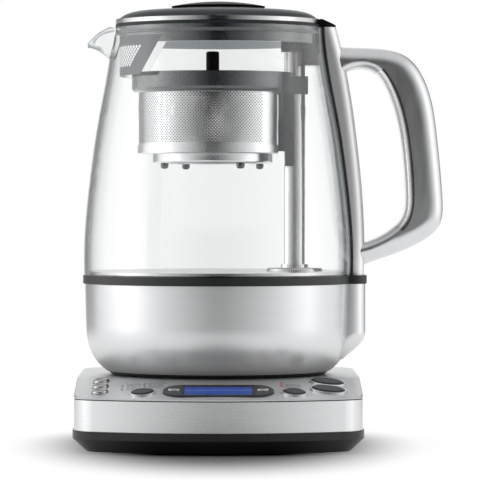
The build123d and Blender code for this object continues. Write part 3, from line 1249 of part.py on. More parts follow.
# ---------------------------------------------------------------- tea basket
def basket_plan(z, radius, flat_x=FLAT_X):
    """Plan of the basket at height z: round, with a flat towards the lift post."""
    with BuildSketch(Plane.XY.offset(z)) as plan:
        with Locations((BASKET_X, 0)):
            Circle(radius)
        with Locations((flat_x, 0)):
            Rectangle(2 * RIM_R, 2 * RIM_R, align=(Align.MIN, Align.CENTER), mode=Mode.SUBTRACT)
    return plan.sketch


with BuildPart() as basket_rim:
    extrude(basket_plan(RIM_Z, RIM_R, BRACKET_BACK_X - HAIR), amount=RIM_H)
    fillet(basket_rim.edges().group_by(Axis.Z)[0].filter_by(GeomType.CIRCLE), RIM_EDGE_R)
    extrude(basket_plan(RIM_Z, WALL_R + FIT / 2, BRACKET_BACK_X), amount=RIM_H, mode=Mode.SUBTRACT)
    ledge_z = LID_DISC_Z - RUN
    extrude(basket_plan(ledge_z, WALL_R + EPS, BRACKET_BACK_X - HAIR), amount=-LEDGE_H)
    extrude(basket_plan(ledge_z, WALL_R - LEDGE_WIDE, FLAT_X - LEDGE_WIDE), amount=-LEDGE_H, mode=Mode.SUBTRACT)
basket_rim.part.label = "basket_rim"
export_step(basket_rim.part, "parts/basket_rim.step")

with BuildPart() as basket_wall:
    wall_top = LID_DISC_Z - RUN - LEDGE_H - 2 * HAIR
    extrude(basket_plan(WALL_FOOT_Z, WALL_R, FLAT_X - 2 * HAIR), amount=wall_top - WALL_FOOT_Z)
    extrude(basket_plan(WALL_FOOT_Z, WALL_R - WALL_SHEET, FLAT_X - 2 * HAIR - WALL_SHEET),
            amount=wall_top - WALL_FOOT_Z, mode=Mode.SUBTRACT)
basket_wall.part.label = "basket_wall"
export_step(basket_wall.part, "parts/basket_wall.step")

with BuildPart() as basket_band:
    extrude(basket_plan(BAND_Z, BAND_R, FLAT_X + BAND_SHEET), amount=BAND_H)
    chamfer(basket_band.edges().group_by(Axis.Z)[0], BAND_EDGE)
    extrude(basket_plan(WALL_FOOT_Z - 2 * HAIR, WALL_R + HAIR, FLAT_X - HAIR), amount=BAND_H,
            mode=Mode.SUBTRACT)
    with BuildSketch(Plane.XY.offset(BAND_Z)):
        with Locations((BASKET_X, 0)):
            for ring in range(1, FLOOR_RINGS + 1):
                with PolarLocations(ring * FLOOR_RING_R, 6 * ring):
                    Circle(FLOOR_HOLE_R)
    extrude(amount=BAND_H, mode=Mode.SUBTRACT)
basket_band.part.label = "basket_band"
export_step(basket_band.part, "parts/basket_band.step")

with BuildPart() as basket_cap:
    with BuildSketch(Plane.XY.offset(CAP_Z)):
        with Locations((BASKET_X, 0)):
            Circle(CAP_R)
            Circle(CAP_R - CAP_WALL, mode=Mode.SUBTRACT)
    extrude(amount=BAND_Z - CAP_Z)
    fillet(basket_cap.edges().group_by(Axis.Z)[0].sort_by(SortBy.LENGTH)[-1:], CAP_WALL / 3)
basket_cap.part.label = "basket_cap"
export_step(basket_cap.part, "parts/basket_cap.step")

with BuildPart() as basket_feet:
    with BuildSketch(Plane.XY.offset(CAP_Z)):
        with Locations((BASKET_X, 0)):
            with PolarLocations(CAP_R - CAP_WALL * 0.6, BASKET_FEET, start_angle=FOOT_TURN):
                Circle(BASKET_FOOT_R)
    extrude(amount=-BASKET_FOOT_H)
    fillet(basket_feet.edges().group_by(Axis.Z)[0], BASKET_FOOT_R * 0.7)
basket_feet.part.label = "basket_feet"
export_step(basket_feet.part, "parts/basket_feet.step")

bracket_half = POST_WIDE / 2 + RUN + BRACKET_WALL
bracket_x = BRACKET_BACK_X
post_near_x = POST_X - POST_LONG / 2 - RUN
magnet_x, magnet_y, magnet_z = MAGNET_SIZE
with BuildPart() as basket_bracket:
    with BuildSketch(Plane.XY.offset(RIM_Z)):
        with Locations((BASKET_X, 0)):
            Circle(RIM_R)
        with Locations((bracket_x, 0)):
            Rectangle(RIM_R, 2 * RIM_R, align=(Align.MIN, Align.CENTER), mode=Mode.INTERSECT)
    extrude(amount=RIM_H)
    with BuildSketch(Plane.YZ.offset(bracket_x)):
        with BuildLine():
            Polyline((-FAIRING_HALF, RIM_Z), (FAIRING_HALF, RIM_Z), (bracket_half, RIM_Z - FAIRING_H),
                     (-bracket_half, RIM_Z - FAIRING_H), close=True)
        make_face()
    extrude(amount=FAIRING_THICK)
    with BuildSketch(Plane.XY.offset(BRACKET_FOOT_Z)):
        with Locations((bracket_x, 0)):
            Rectangle(BRACKET_X - bracket_x, 2 * bracket_half, align=(Align.MIN, Align.CENTER))
    extrude(amount=RIM_TOP_Z - BRACKET_FOOT_Z)
    with BuildSketch(Plane.XY.offset(ARM_FOOT_Z)):
        with Locations((bracket_x, 0)):
            Rectangle(BRACKET_ARM_X - bracket_x, 2 * bracket_half, align=(Align.MIN, Align.CENTER))
    extrude(amount=ARM_TOP_Z - ARM_FOOT_Z)
    fillet(basket_bracket.edges().filter_by(Axis.Z).group_by(Axis.X)[-1], BRACKET_WALL / 3)
    with BuildSketch(Plane.XY.offset(FINGER_Z)):
        with Locations((BRACKET_X, -bracket_half)):
            Rectangle(FINGER_WIDE, BRACKET_WALL, align=(Align.MAX, Align.MIN))
    extrude(amount=BRACKET_FOOT_Z - FINGER_Z)
    with BuildSketch(Plane.XY.offset(FINGER_Z)):
        with Locations((post_near_x, 0)):
            Rectangle(RIM_R, POST_WIDE + 2 * RUN, align=(Align.MIN, Align.CENTER))
    extrude(amount=RIM_TOP_Z - FINGER_Z, mode=Mode.SUBTRACT)
    with BuildSketch(Plane.YZ.offset(bracket_x)):
        with Locations((0, MAGNET_Z + magnet_z / 2)):
            Rectangle(magnet_y + FIT, magnet_z + FIT)
    extrude(amount=magnet_x + FIT, mode=Mode.SUBTRACT)
basket_bracket.part.label = "basket_bracket"
export_step(basket_bracket.part, "parts/basket_bracket.step")

with BuildPart() as basket_magnet:
    with BuildSketch(Plane.YZ.offset(bracket_x)):
        with Locations((0, MAGNET_Z + magnet_z / 2)):
            Rectangle(magnet_y, magnet_z)
    extrude(amount=magnet_x)
basket_magnet.part.label = "basket_magnet"
export_step(basket_magnet.part, "parts/basket_magnet.step")

with BuildPart() as basket_lid:
    extrude(basket_plan(LID_DISC_Z, LID_DISC_R, FLAT_X - RUN), amount=LID_DISC_H)
    fillet(basket_lid.edges().group_by(Axis.Z)[-1].filter_by(GeomType.CIRCLE), LID_DISC_H / 3)
basket_lid.part.label = "basket_lid"
export_step(basket_lid.part, "parts/basket_lid.step")

with BuildPart() as basket_lid_knob:
    with BuildSketch(Plane.XY.offset(LID_DISC_Z + LID_DISC_H)):
        with Locations((BASKET_X, 0)):
            Circle(LID_KNOB_R)
    extrude(amount=LID_KNOB_TOP_Z - LID_DISC_Z - LID_DISC_H)
    fillet(basket_lid_knob.edges().group_by(Axis.Z)[-1], LID_KNOB_R / 3)
basket_lid_knob.part.label = "basket_lid_knob"
export_step(basket_lid_knob.part, "parts/basket_lid_knob.step")
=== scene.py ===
import math

import bpy
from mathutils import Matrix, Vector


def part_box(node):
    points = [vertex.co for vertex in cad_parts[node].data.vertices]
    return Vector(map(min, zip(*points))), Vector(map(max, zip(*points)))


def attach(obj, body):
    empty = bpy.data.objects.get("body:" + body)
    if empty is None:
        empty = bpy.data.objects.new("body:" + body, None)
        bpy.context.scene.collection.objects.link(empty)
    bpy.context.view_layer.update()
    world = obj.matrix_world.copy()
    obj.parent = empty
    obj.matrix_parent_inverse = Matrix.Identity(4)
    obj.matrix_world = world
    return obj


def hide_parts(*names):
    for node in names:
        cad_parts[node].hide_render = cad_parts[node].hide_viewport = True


# An automatic tea maker: a glass jug whose tea basket rides on a magnetic lift post, on a power
# base with a sloping control panel. Metres; the origin is under the jug's axis, +X is the handle,
# -Y the panel. The CAD model is the frame, and each section dresses one piece of it.

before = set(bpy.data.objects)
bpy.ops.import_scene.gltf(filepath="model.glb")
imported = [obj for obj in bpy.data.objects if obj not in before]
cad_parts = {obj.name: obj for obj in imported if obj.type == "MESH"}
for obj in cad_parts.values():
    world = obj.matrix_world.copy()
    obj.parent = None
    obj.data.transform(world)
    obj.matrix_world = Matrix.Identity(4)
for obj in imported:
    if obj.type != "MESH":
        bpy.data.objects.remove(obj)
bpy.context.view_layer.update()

# ---------------------------------------------------------------- camera
# A long lens stands square to the front, a little above the middle of the jug, and looks
# slightly down, so that the deck of the power base shows as a narrow band.
CAMERA_PLACE = (0.0, -2.016, 0.144)
CAMERA_AIM = (0.0128, 0.0, 0.1203)
camera_data = bpy.data.cameras.new("front_camera")
camera_data.sensor_width = 36.0
camera_data.lens = 255.0
camera = bpy.data.objects.new("front_camera", camera_data)
bpy.context.scene.collection.objects.link(camera)
across, ahead, up = [aim - place for aim, place in zip(CAMERA_AIM, CAMERA_PLACE)]
camera.location = CAMERA_PLACE
camera.rotation_euler = (math.pi / 2 + math.atan2(up, ahead), 0.0, -math.atan2(across, ahead))
bpy.context.scene.camera = camera
bpy.context.scene.view_settings.view_transform = "Standard"


# ---------------------------------------------------------------- studio
# A white room with soft boxes at both sides and a narrow dark gap in front, where the camera
# stands. The metal and the glossy plastic mirror it as upright bands. The floor is white paper.
class Wire:
    """A value that varies over a finish. Arithmetic on wires adds the Math nodes for it."""

    def __init__(self, finish, socket):
        self.finish = finish
        self.socket = socket

    def __add__(self, other):
        return self.finish.maths("ADD", self, other)

    def __radd__(self, other):
        return self.finish.maths("ADD", other, self)

    def __sub__(self, other):
        return self.finish.maths("SUBTRACT", self, other)

    def __rsub__(self, other):
        return self.finish.maths("SUBTRACT", other, self)

    def __mul__(self, other):
        return self.finish.maths("MULTIPLY", self, other)

    def __rmul__(self, other):
        return self.finish.maths("MULTIPLY", other, self)

    def __truediv__(self, other):
        return self.finish.maths("DIVIDE", self, other)

    def __rtruediv__(self, other):
        return self.finish.maths("DIVIDE", other, self)

    def above(self, edge, soft):
        """0 below the edge, 1 above it, turning over the width soft."""
        sockets = {0: self, 1: edge - soft / 2, 2: edge + soft / 2}
        return self.finish.node("ShaderNodeMapRange", {"interpolation_type": "SMOOTHSTEP"}, sockets)

    def between(self, low, high, soft):
        """1 from low to high and 0 outside, turning over the width soft."""
        return self.above(low, soft) - self.above(high, soft)


class Finish:
    """A node-based finish: the shader's fixed values, and wires for what varies."""

    def __init__(self, name, material=None, **fixed):
        self.material = material or bpy.data.materials.new(name)
        self.material.use_nodes = True
        self.tree = self.material.node_tree
        self.shader = self.tree.nodes.get("Principled BSDF") or self.tree.nodes.get("Background")
        for socket, value in fixed.items():
            self.shader.inputs[socket.replace("_", " ")].default_value = value

    def node(self, kind, settings=None, sockets=None, output=0):
        """Adds a node: its settings first, then the values or wires of its sockets."""
        made = self.tree.nodes.new(kind)
        for setting, value in (settings or {}).items():
            if setting == "stops":
                ramp = made.color_ramp
                while len(ramp.elements) < len(value):
                    ramp.elements.new(1.0)
                for element, (place, colour) in zip(ramp.elements, value):
                    element.position = place
                    element.color = colour
            else:
                setattr(made, setting, value)
        for socket, value in (sockets or {}).items():
            if isinstance(value, Wire):
                self.tree.links.new(value.socket, made.inputs[socket])
            else:
                made.inputs[socket].default_value = value
        return Wire(self, made.outputs[output])

    def maths(self, operation, *terms):
        return self.node("ShaderNodeMath", {"operation": operation}, dict(enumerate(terms)))

    def vary(self, **wires):
        """Feeds wires to the shader's sockets."""
        for socket, wire in wires.items():
            self.tree.links.new(wire.socket, self.shader.inputs[socket.replace("_", " ")])

    def part(self, vector, axis):
        """The x, y or z of a vector, for axis 0, 1 or 2."""
        return self.node("ShaderNodeSeparateXYZ", None, {0: vector}, output=axis)

    def place(self):
        """The point on the piece in the frame's metres."""
        return self.node("ShaderNodeTexCoord", output="Object")

    def along(self, axis):
        """The x, y or z of the point on the piece, in the frame's metres."""
        return self.part(self.place(), axis)

    def ray(self, output):
        """What Light Path says of the ray that meets the finish."""
        return self.node("ShaderNodeLightPath", output=output)

    def grain(self, spots, stretch=(1.0, 1.0, 1.0), detail=2.0):
        """Noise from 0 to 1 with about so many spots in a metre, drawn out along small stretches."""
        where = self.node("ShaderNodeVectorMath", {"operation": "MULTIPLY"}, {0: self.place(), 1: stretch})
        return self.node("ShaderNodeTexNoise", None, {"Vector": where, "Scale": spots, "Detail": detail})

    def blend(self, share, low, high):
        """A colour that goes from low to high as share goes from 0 to 1."""
        return self.node("ShaderNodeMix", {"data_type": "RGBA"}, {0: share, 6: low, 7: high}, output=2)

    def tint(self, share, low, high):
        """Base colour that goes from low to high as share goes from 0 to 1."""
        self.vary(Base_Color=self.blend(share, low, high))

    def roughen(self, share, low, high):
        """Roughness that goes from low to high as share goes from 0 to 1."""
        self.vary(Roughness=low + (high - low) * share)

    def relief(self, height, depth):
        """Bumps of the given depth in metres where height goes from 0 to 1."""
        bump = self.node("ShaderNodeBump", None, {"Strength": 1.0, "Distance": depth, "Height": height})
        self.vary(Normal=bump)

    def put_on(self, *nodes):
        """Gives the finish to whole CAD nodes."""
        for name in nodes:
            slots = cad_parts[name].data.materials
            slots.clear()
            slots.append(self.material)


def grey(value):
    return (value, value, value, 1.0)


# Degrees from the front, and the light of the wall there at the left and at the right.
ROOM_BANDS = [
    (0.0, 0.02, 0.02), (9.0, 0.02, 0.02), (12.0, 0.14, 0.12), (20.0, 0.24, 0.20),
    (30.0, 0.44, 0.36), (41.0, 0.66, 0.58), (56.0, 0.98, 0.88), (71.0, 1.60, 1.36),
    (86.0, 2.05, 1.72), (100.0, 1.55, 1.12), (118.0, 1.14, 1.04), (128.0, 0.90, 0.85),
    (138.0, 0.34, 0.24), (161.0, 0.32, 0.22), (170.0, 1.00, 1.00), (180.0, 1.00, 1.00),
]
OVERHEAD = grey(0.72)
OVERHEAD_FROM = 0.62
OVERHEAD_FADE = 0.5
WHITE = grey(1.0)
wall_stops = [(0.5 - degrees / 360.0, grey(left)) for degrees, left, right in reversed(ROOM_BANDS)]
wall_stops += [(0.5 + degrees / 360.0, grey(right)) for degrees, left, right in ROOM_BANDS[1:]]
world = bpy.data.worlds.new("white_room")
bpy.context.scene.world = world
room = Finish("white_room", material=world, Strength=1.0)
aim = room.node("ShaderNodeTexCoord", output="Generated")
aim_x, aim_y, aim_z = [room.part(aim, axis) for axis in range(3)]
turn = room.maths("ARCTAN2", aim_x, 0.0 - aim_y) / math.tau + 0.5
wall = room.node("ShaderNodeValToRGB", {"stops": wall_stops}, {0: turn})
lights = room.blend(aim_z.above(OVERHEAD_FROM, OVERHEAD_FADE), wall, OVERHEAD)

# Looked at straight or through glass, the room is plain white.
bounces = room.ray("Diffuse Depth") + room.ray("Glossy Depth")
unbroken = room.maths("LESS_THAN", bounces, 0.5)
straight = room.ray("Is Camera Ray") + unbroken * room.ray("Is Transmission Ray")
room.vary(Color=room.blend(straight, lights, WHITE))

# The paper glows white to the eye, all but an oval round the base, where the dark grey paper stays as a
# painted shadow over the real one.
FLOOR_REACH = 1.2
PAPER = grey(0.18)
PAPER_GLOW = grey(0.86)
PAINTED_SHADOW_SIDE = 0.122
PAINTED_SHADOW_FRONT = 0.275
PAINTED_SHADOW_REAR = 0.165
PAINTED_SHADOW_EDGE = 0.74
PAINTED_SHADOW_FADE = 0.60
bpy.ops.mesh.primitive_grid_add(x_subdivisions=2, y_subdivisions=2, size=2 * FLOOR_REACH)
floor = bpy.context.object
floor.name = "paper_floor"
paper = Finish("white_paper", Base_Color=PAPER, Roughness=0.9, Specular_IOR_Level=0.1,
               Emission_Strength=1.0)
reach = paper.node("ShaderNodeVectorMath", {"operation": "LENGTH"}, {0: paper.place()}, output="Value")
paper.vary(Alpha=1.0 - reach.above(0.75 * FLOOR_REACH, 0.4 * FLOOR_REACH))
sideways = paper.along(0) / PAINTED_SHADOW_SIDE
backward = paper.along(1)
lengthways = paper.maths("MAXIMUM", backward / PAINTED_SHADOW_REAR, backward / -PAINTED_SHADOW_FRONT)
away = paper.maths("SQRT", sideways * sideways + lengthways * lengthways)
looked_at = paper.ray("Is Camera Ray") + paper.ray("Is Glossy Ray") + paper.ray("Is Transmission Ray")
glow_outside_painted_shadow = looked_at * away.above(PAINTED_SHADOW_EDGE, PAINTED_SHADOW_FADE)
paper.vary(Emission_Color=paper.blend(glow_outside_painted_shadow, grey(0.0), PAPER_GLOW))
floor.data.materials.append(paper.material)

# ---------------------------------------------------------------- lower case of the base
# A black moulded tray with a fine spark-eroded texture. It carries the four feet and the screws
# that hold the top shell, and its upright lip stands out under the steel band.
CASE_BLACK = (0.005, 0.006, 0.007, 1.0)
CASE_WORN = (0.009, 0.010, 0.012, 1.0)
case_black = Finish("case_black", Specular_IOR_Level=0.5)
case_patch = case_black.grain(60.0)
case_black.tint(case_patch, CASE_BLACK, CASE_WORN)
case_black.roughen(case_patch, 0.28, 0.38)
case_black.relief(case_black.grain(2600.0), 0.00001)
case_black.put_on("base_lower_case")

# ---------------------------------------------------------------- feet and screws
# Four turned rubber discs glued into recesses, and the zinc-plated screws that hold the case,
# the plinth and the handle.
foot_rubber = Finish("foot_rubber", Roughness=0.85, Specular_IOR_Level=0.3)
foot_rubber.tint(foot_rubber.grain(900.0), grey(0.018), grey(0.035))
foot_rubber.relief(foot_rubber.grain(1800.0), 0.00004)
foot_rubber.put_on("rubber_feet")

screw_zinc = Finish("screw_zinc", Metallic=1.0)
screw_zinc.tint(screw_zinc.grain(1200.0), grey(0.42), grey(0.62))
screw_zinc.roughen(screw_zinc.grain(700.0), 0.28, 0.43)
screw_zinc.put_on("base_screws", "plinth_screws", "handle_screws")

# ---------------------------------------------------------------- steel band of the base
# A strip of stainless sheet, brushed along its length, bent round the case and clipped
# between the lip and the top shell.
HAIR_SPOTS = 5200.0
HAIR_STRETCH = (0.02, 0.02, 1.0)
HAIR_DEPTH = 0.0000012
CLOUD_SPOTS = 240.0
CLOUD_STRETCH = (0.15, 0.15, 1.0)
HAIR_ROUGH = 0.06
FOOT_SHADE_GREY = grey(0.50)
DULL_FADE = 0.016
DULL_ROUGH = 0.16


def brushed(name, light, dark, rough, dull_foot=-1.0):
    """Stainless sheet with level hairlines; below the height dull_foot it is rougher, and darkened with
    painted shade.
    """
    steel = Finish(name, Metallic=1.0, Anisotropic=0.6, Anisotropic_Rotation=0.25)
    hairs = steel.grain(HAIR_SPOTS, HAIR_STRETCH, detail=4.0)
    clouds = steel.grain(CLOUD_SPOTS, CLOUD_STRETCH)
    dull_and_shaded = 1.0 - steel.along(2).above(dull_foot, DULL_FADE)
    # Painted shade: below dull_foot the steel's colour turns to a darker grey.
    steel.tint(dull_and_shaded, steel.blend(0.5 * hairs + 0.5 * clouds, dark, light), FOOT_SHADE_GREY)
    steel.vary(Roughness=rough - HAIR_ROUGH / 2 + HAIR_ROUGH * hairs + DULL_ROUGH * dull_and_shaded)
    steel.relief(hairs, HAIR_DEPTH)
    return steel


STEEL_LIGHT = (0.78, 0.785, 0.79, 1.0)
STEEL_DARK = (0.69, 0.70, 0.71, 1.0)
band_steel = brushed("band_steel", STEEL_LIGHT, STEEL_DARK, 0.27)
band_steel.put_on("base_side_band")

# ---------------------------------------------------------------- gaskets and cord gland
# The soft dark line between band and shell, the sleeve at the rear that takes the cord, and the
# strip of slate rubber that beds the handle's spine on the glass.
gasket_black = Finish("gasket_black", Roughness=0.6, Specular_IOR_Level=0.4)
gasket_black.tint(gasket_black.grain(500.0), grey(0.018), grey(0.034))
gasket_black.relief(gasket_black.grain(1500.0), 0.00003)
gasket_black.put_on("seam_gasket", "cord_gland")

GASKET_SLATE_DARK = (0.050, 0.060, 0.070, 1.0)
GASKET_SLATE_LIGHT = (0.075, 0.088, 0.100, 1.0)
gasket_slate = Finish("gasket_slate", Roughness=0.35, Specular_IOR_Level=0.5)
gasket_slate.tint(gasket_slate.grain(500.0), GASKET_SLATE_DARK, GASKET_SLATE_LIGHT)
gasket_slate.put_on("spine_gasket")

# ---------------------------------------------------------------- top shell of the base
# Moulded plastic, sprayed with silver paint whose flakes show as a fine sparkle. It is level
# under the jug and falls away to the front as part of a wide cone.
PAINT_LIGHT = (0.74, 0.75, 0.76, 1.0)
PAINT_DARK = (0.60, 0.61, 0.62, 1.0)
silver_paint = Finish("silver_paint", Metallic=0.65, Coat_Weight=0.35, Coat_Roughness=0.18)
flakes = silver_paint.grain(4200.0, detail=0.0)
silver_paint.tint(flakes.above(0.5, 0.5), PAINT_DARK, PAINT_LIGHT)
silver_paint.roughen(silver_paint.grain(90.0), 0.34, 0.44)
silver_paint.relief(flakes, 0.000010)
silver_paint.put_on("base_top_shell")

# ---------------------------------------------------------------- print on the panel
# Pad-printed strokes beside the rows of lights and over the right-hand button: plain bars in
# dark grey, and four in red. They lie on the paint, a few hundredths of a millimetre thick.
BOW_CENTRE_Y = 0.041797
FOLD_RADIUS = 0.107797
DECK_HEIGHT = 0.041
PANEL_FALL = 9.4 / 46.0
INK = 0.00004
INK_DARK = (0.16, 0.165, 0.17, 1.0)
INK_RED = (0.50, 0.08, 0.08, 1.0)
INK_FADE = 1.35


def on_panel(x, y, rise):
    """The point over plan point (x, y) that stands rise over the sloping panel."""
    out = math.hypot(x, y - BOW_CENTRE_Y)
    return (x, y, DECK_HEIGHT - max(0.0, out - FOLD_RADIUS) * PANEL_FALL + rise)


def printed(name, colour, bars):
    """Flat bars of ink (left, right, front, rear) in one piece on the panel."""
    points = []
    faces = []
    for left, right, front, rear in bars:
        first = len(points)
        corners = ((left, front), (right, front), (right, rear), (left, rear))
        for rise in (0.25 * INK, 1.25 * INK):
            points += [on_panel(x, y, rise) for x, y in corners]
        faces.append((first + 3, first + 2, first + 1, first))
        faces.append((first + 4, first + 5, first + 6, first + 7))
        for side in range(4):
            after = (side + 1) % 4
            faces.append((first + side, first + after, first + 4 + after, first + 4 + side))
    mesh = bpy.data.meshes.new(name)
    mesh.from_pydata(points, [], faces)
    piece = bpy.data.objects.new(name, mesh)
    bpy.context.scene.collection.objects.link(piece)
    ink = Finish(name, Roughness=0.5)
    faded = [INK_FADE * channel for channel in colour[:3]] + [1.0]
    ink.tint(ink.grain(900.0), colour, faded)
    mesh.materials.append(ink.material)
    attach(piece, "base")
    return piece


STROKE_GAP = 0.0007
STROKE_HALF = 0.0004


def words(left, right, middle, lengths):
    """A row of short bars from left to right at plan height middle: word-like strokes."""
    bars = []
    x = left
    for length in lengths:
        if x + length <= right:
            bars.append((x, x + length, middle - STROKE_HALF, middle + STROKE_HALF))
        x += length + STROKE_GAP
    return bars


STROKES = (0.0031, 0.0012, 0.0024, 0.0017, 0.0036, 0.0014, 0.0020, 0.0027)
FIRST_COLUMN = (-0.0525, -0.0440)
SECOND_COLUMN = (-0.0398, -0.0290)
RIGHT_COLUMN = (0.0382, 0.0485)
ROWS_LEFT = 6
ROWS_RIGHT = 5
FIRST_ROW_Y = -0.0811
ROW_PITCH = 0.00245
dark_bars = []
for row in range(ROWS_LEFT):
    row_y = FIRST_ROW_Y + ROW_PITCH * row
    turned = STROKES[row:] + STROKES[:row]
    dark_bars += words(*FIRST_COLUMN, row_y, turned)
    dark_bars += words(*SECOND_COLUMN, row_y, turned[::-1])
    if row < ROWS_RIGHT:
        dark_bars += words(*RIGHT_COLUMN, row_y, turned[3:] + turned[:3])
printed("panel_print_dark", INK_DARK, dark_bars)

RED_LEFT = 0.0352
RED_RIGHT = 0.0372
RED_DEEP = 0.0016
RED_FRONTS = (-0.0785, -0.0755, -0.0725, -0.0695)
red_bars = [(RED_LEFT, RED_RIGHT, front, front + RED_DEEP) for front in RED_FRONTS]
printed("panel_print_red", INK_RED, red_bars)

# ---------------------------------------------------------------- display
# A dark bezel with a clear window over a blue, back-lit liquid crystal panel, between the two
# arrow buttons.
MIRRORED_GREY = grey(0.40)


def mirrored(finish):
    """1 where the piece shows only as a reflection, so that the brushed steel stays plain."""
    return finish.ray("Glossy Depth").above(0.5, 0.2)


BEZEL_DARK = (0.030, 0.033, 0.035, 1.0)
BEZEL_LIGHT = (0.050, 0.054, 0.056, 1.0)
bezel_grey = Finish("bezel_grey", Specular_IOR_Level=0.3)
bezel_shade = bezel_grey.blend(bezel_grey.grain(300.0), BEZEL_DARK, BEZEL_LIGHT)
bezel_grey.tint(mirrored(bezel_grey), bezel_shade, MIRRORED_GREY)
bezel_grey.roughen(bezel_grey.grain(150.0), 0.30, 0.40)
bezel_grey.relief(bezel_grey.grain(2400.0), 0.00002)
bezel_grey.put_on("lcd_bezel")

window_clear = Finish("window_clear", Base_Color=(0.97, 0.98, 1.0, 1.0), Transmission_Weight=1.0, IOR=1.12)
window_clear.roughen(window_clear.grain(400.0), 0.01, 0.04)
window_clear.put_on("lcd_window")

LCD_BLUE = (0.002, 0.042, 0.30, 1.0)
LCD_GLOW = (0.003, 0.060, 0.39, 1.0)
LCD_PAINTED_REFLECTION = (0.10, 0.19, 0.62, 1.0)
REFLECTION_FRONT_Y = -0.0909
REFLECTION_REAR_Y = -0.0894
REFLECTION_FADE = 0.0006
LCD_MIRRORED = grey(0.30)
display_blue = Finish("display_blue", Roughness=0.5, Specular_IOR_Level=0.1, Emission_Strength=0.35)
lcd_shade = display_blue.blend(display_blue.grain(40.0), LCD_BLUE, LCD_GLOW)
# Painted reflection of the frame: a lighter line across the panel near its rear edge.
painted_frame_reflection = display_blue.along(1).between(REFLECTION_FRONT_Y, REFLECTION_REAR_Y, REFLECTION_FADE)
lcd_shade = display_blue.blend(painted_frame_reflection, lcd_shade, LCD_PAINTED_REFLECTION)
lcd_shade = display_blue.blend(mirrored(display_blue), lcd_shade, LCD_MIRRORED)
display_blue.vary(Base_Color=lcd_shade, Emission_Color=lcd_shade)
display_blue.put_on("lcd_module")

# ---------------------------------------------------------------- buttons and lights
# Each button is one moulding on a sprung stem. The small ones and the arrows are chrome-plated
# domes; the large ones are dark and finely textured, each in a chrome ring.
chrome_plate = Finish("chrome_plate", Metallic=1.0)
chrome_plate.tint(chrome_plate.grain(200.0), grey(0.78), grey(0.90))
chrome_plate.roughen(chrome_plate.grain(350.0), 0.07, 0.15)
chrome_plate.put_on("button_rings")

chrome_dim = Finish("chrome_dim", Metallic=1.0)
chrome_dim.tint(chrome_dim.grain(200.0), grey(0.42), grey(0.55))
chrome_dim.roughen(chrome_dim.grain(350.0), 0.04, 0.09)
chrome_dim.put_on("small_button_front", "small_button_middle", "small_button_rear")
chrome_dim.put_on("arrow_button_left", "arrow_button_right")

BUTTON_DARK = (0.022, 0.025, 0.028, 1.0)
BUTTON_LIGHT = (0.060, 0.066, 0.072, 1.0)
button_dark = Finish("button_dark", Specular_IOR_Level=0.2)
pips = button_dark.grain(1500.0)
button_shade = button_dark.blend(pips, BUTTON_DARK, BUTTON_LIGHT)
button_dark.tint(mirrored(button_dark), button_shade, MIRRORED_GREY)
button_dark.roughen(pips, 0.32, 0.47)
button_dark.relief(pips, 0.00006)
button_dark.put_on("round_button_left", "round_button_right", "oval_button_front", "oval_button_rear")

light_cap = Finish("light_cap", Roughness=0.25)
light_cap.tint(light_cap.grain(800.0), grey(0.02), grey(0.05))
light_cap.put_on("indicator_leds")

# ---------------------------------------------------------------- inner works of the base
# Two circuit boards with green solder mask, and the round connector on which the jug stands.
SOLDER_DARK = (0.012, 0.10, 0.03, 1.0)
SOLDER_LIGHT = (0.025, 0.16, 0.05, 1.0)
solder_mask = Finish("solder_mask", Roughness=0.35, Coat_Weight=0.4)
solder_mask.tint(solder_mask.grain(120.0), SOLDER_DARK, SOLDER_LIGHT)
solder_mask.put_on("control_board", "power_board")

connector_black = Finish("connector_black", Roughness=0.5)
connector_black.tint(connector_black.grain(300.0), grey(0.012), grey(0.025))
connector_black.relief(connector_black.grain(2000.0), 0.00003)
connector_black.put_on("base_connector", "jug_socket")

# ---------------------------------------------------------------- plinth, seal and inner frame
# Black mouldings: the plinth closes the jug's steel housing below, and the seal ring carries
# the glass on top of it. The frame inside the housing is plain grey plastic.
RING_BLACK = (0.010, 0.012, 0.013, 1.0)
RING_WORN = (0.020, 0.022, 0.024, 1.0)
ring_black = Finish("ring_black", Specular_IOR_Level=0.5)
ring_black.tint(ring_black.grain(120.0), RING_BLACK, RING_WORN)
ring_black.roughen(ring_black.grain(200.0), 0.28, 0.40)
ring_black.relief(ring_black.grain(2000.0), 0.00002)
ring_black.put_on("plinth", "seal_ring")

frame_plastic = Finish("frame_plastic", Roughness=0.6)
frame_plastic.tint(frame_plastic.grain(200.0), grey(0.12), grey(0.17))
frame_plastic.put_on("inner_frame")

# ---------------------------------------------------------------- steel skirt
# The jug's lower housing, deep-drawn from stainless sheet and brushed round, rougher and darkened
# with painted shade where it curves in to the foot. It swells under the handle.
SKIRT_DULL_FOOT = 0.0535
skirt_steel = brushed("skirt_steel", STEEL_LIGHT, STEEL_DARK, 0.30, dull_foot=SKIRT_DULL_FOOT)
skirt_steel.put_on("steel_skirt")

# ---------------------------------------------------------------- heated floor
# A satin stainless disc, spun with faint rings, raised round the foot of the lift post. The
# element, the temperature sensor and the lift's motor sit under it.
RING_SPOTS = 260.0
floor_steel = Finish("floor_steel", Metallic=1.0)
rings = floor_steel.node("ShaderNodeTexWave", {"wave_type": "RINGS", "rings_direction": "Z"},
                         {"Vector": floor_steel.place(), "Scale": RING_SPOTS, "Distortion": 2.0,
                          "Detail": 2.0})
floor_steel.tint(rings, grey(0.66), grey(0.78))
floor_steel.roughen(rings, 0.22, 0.32)
floor_steel.relief(rings, 0.00001)
floor_steel.put_on("heating_plate")

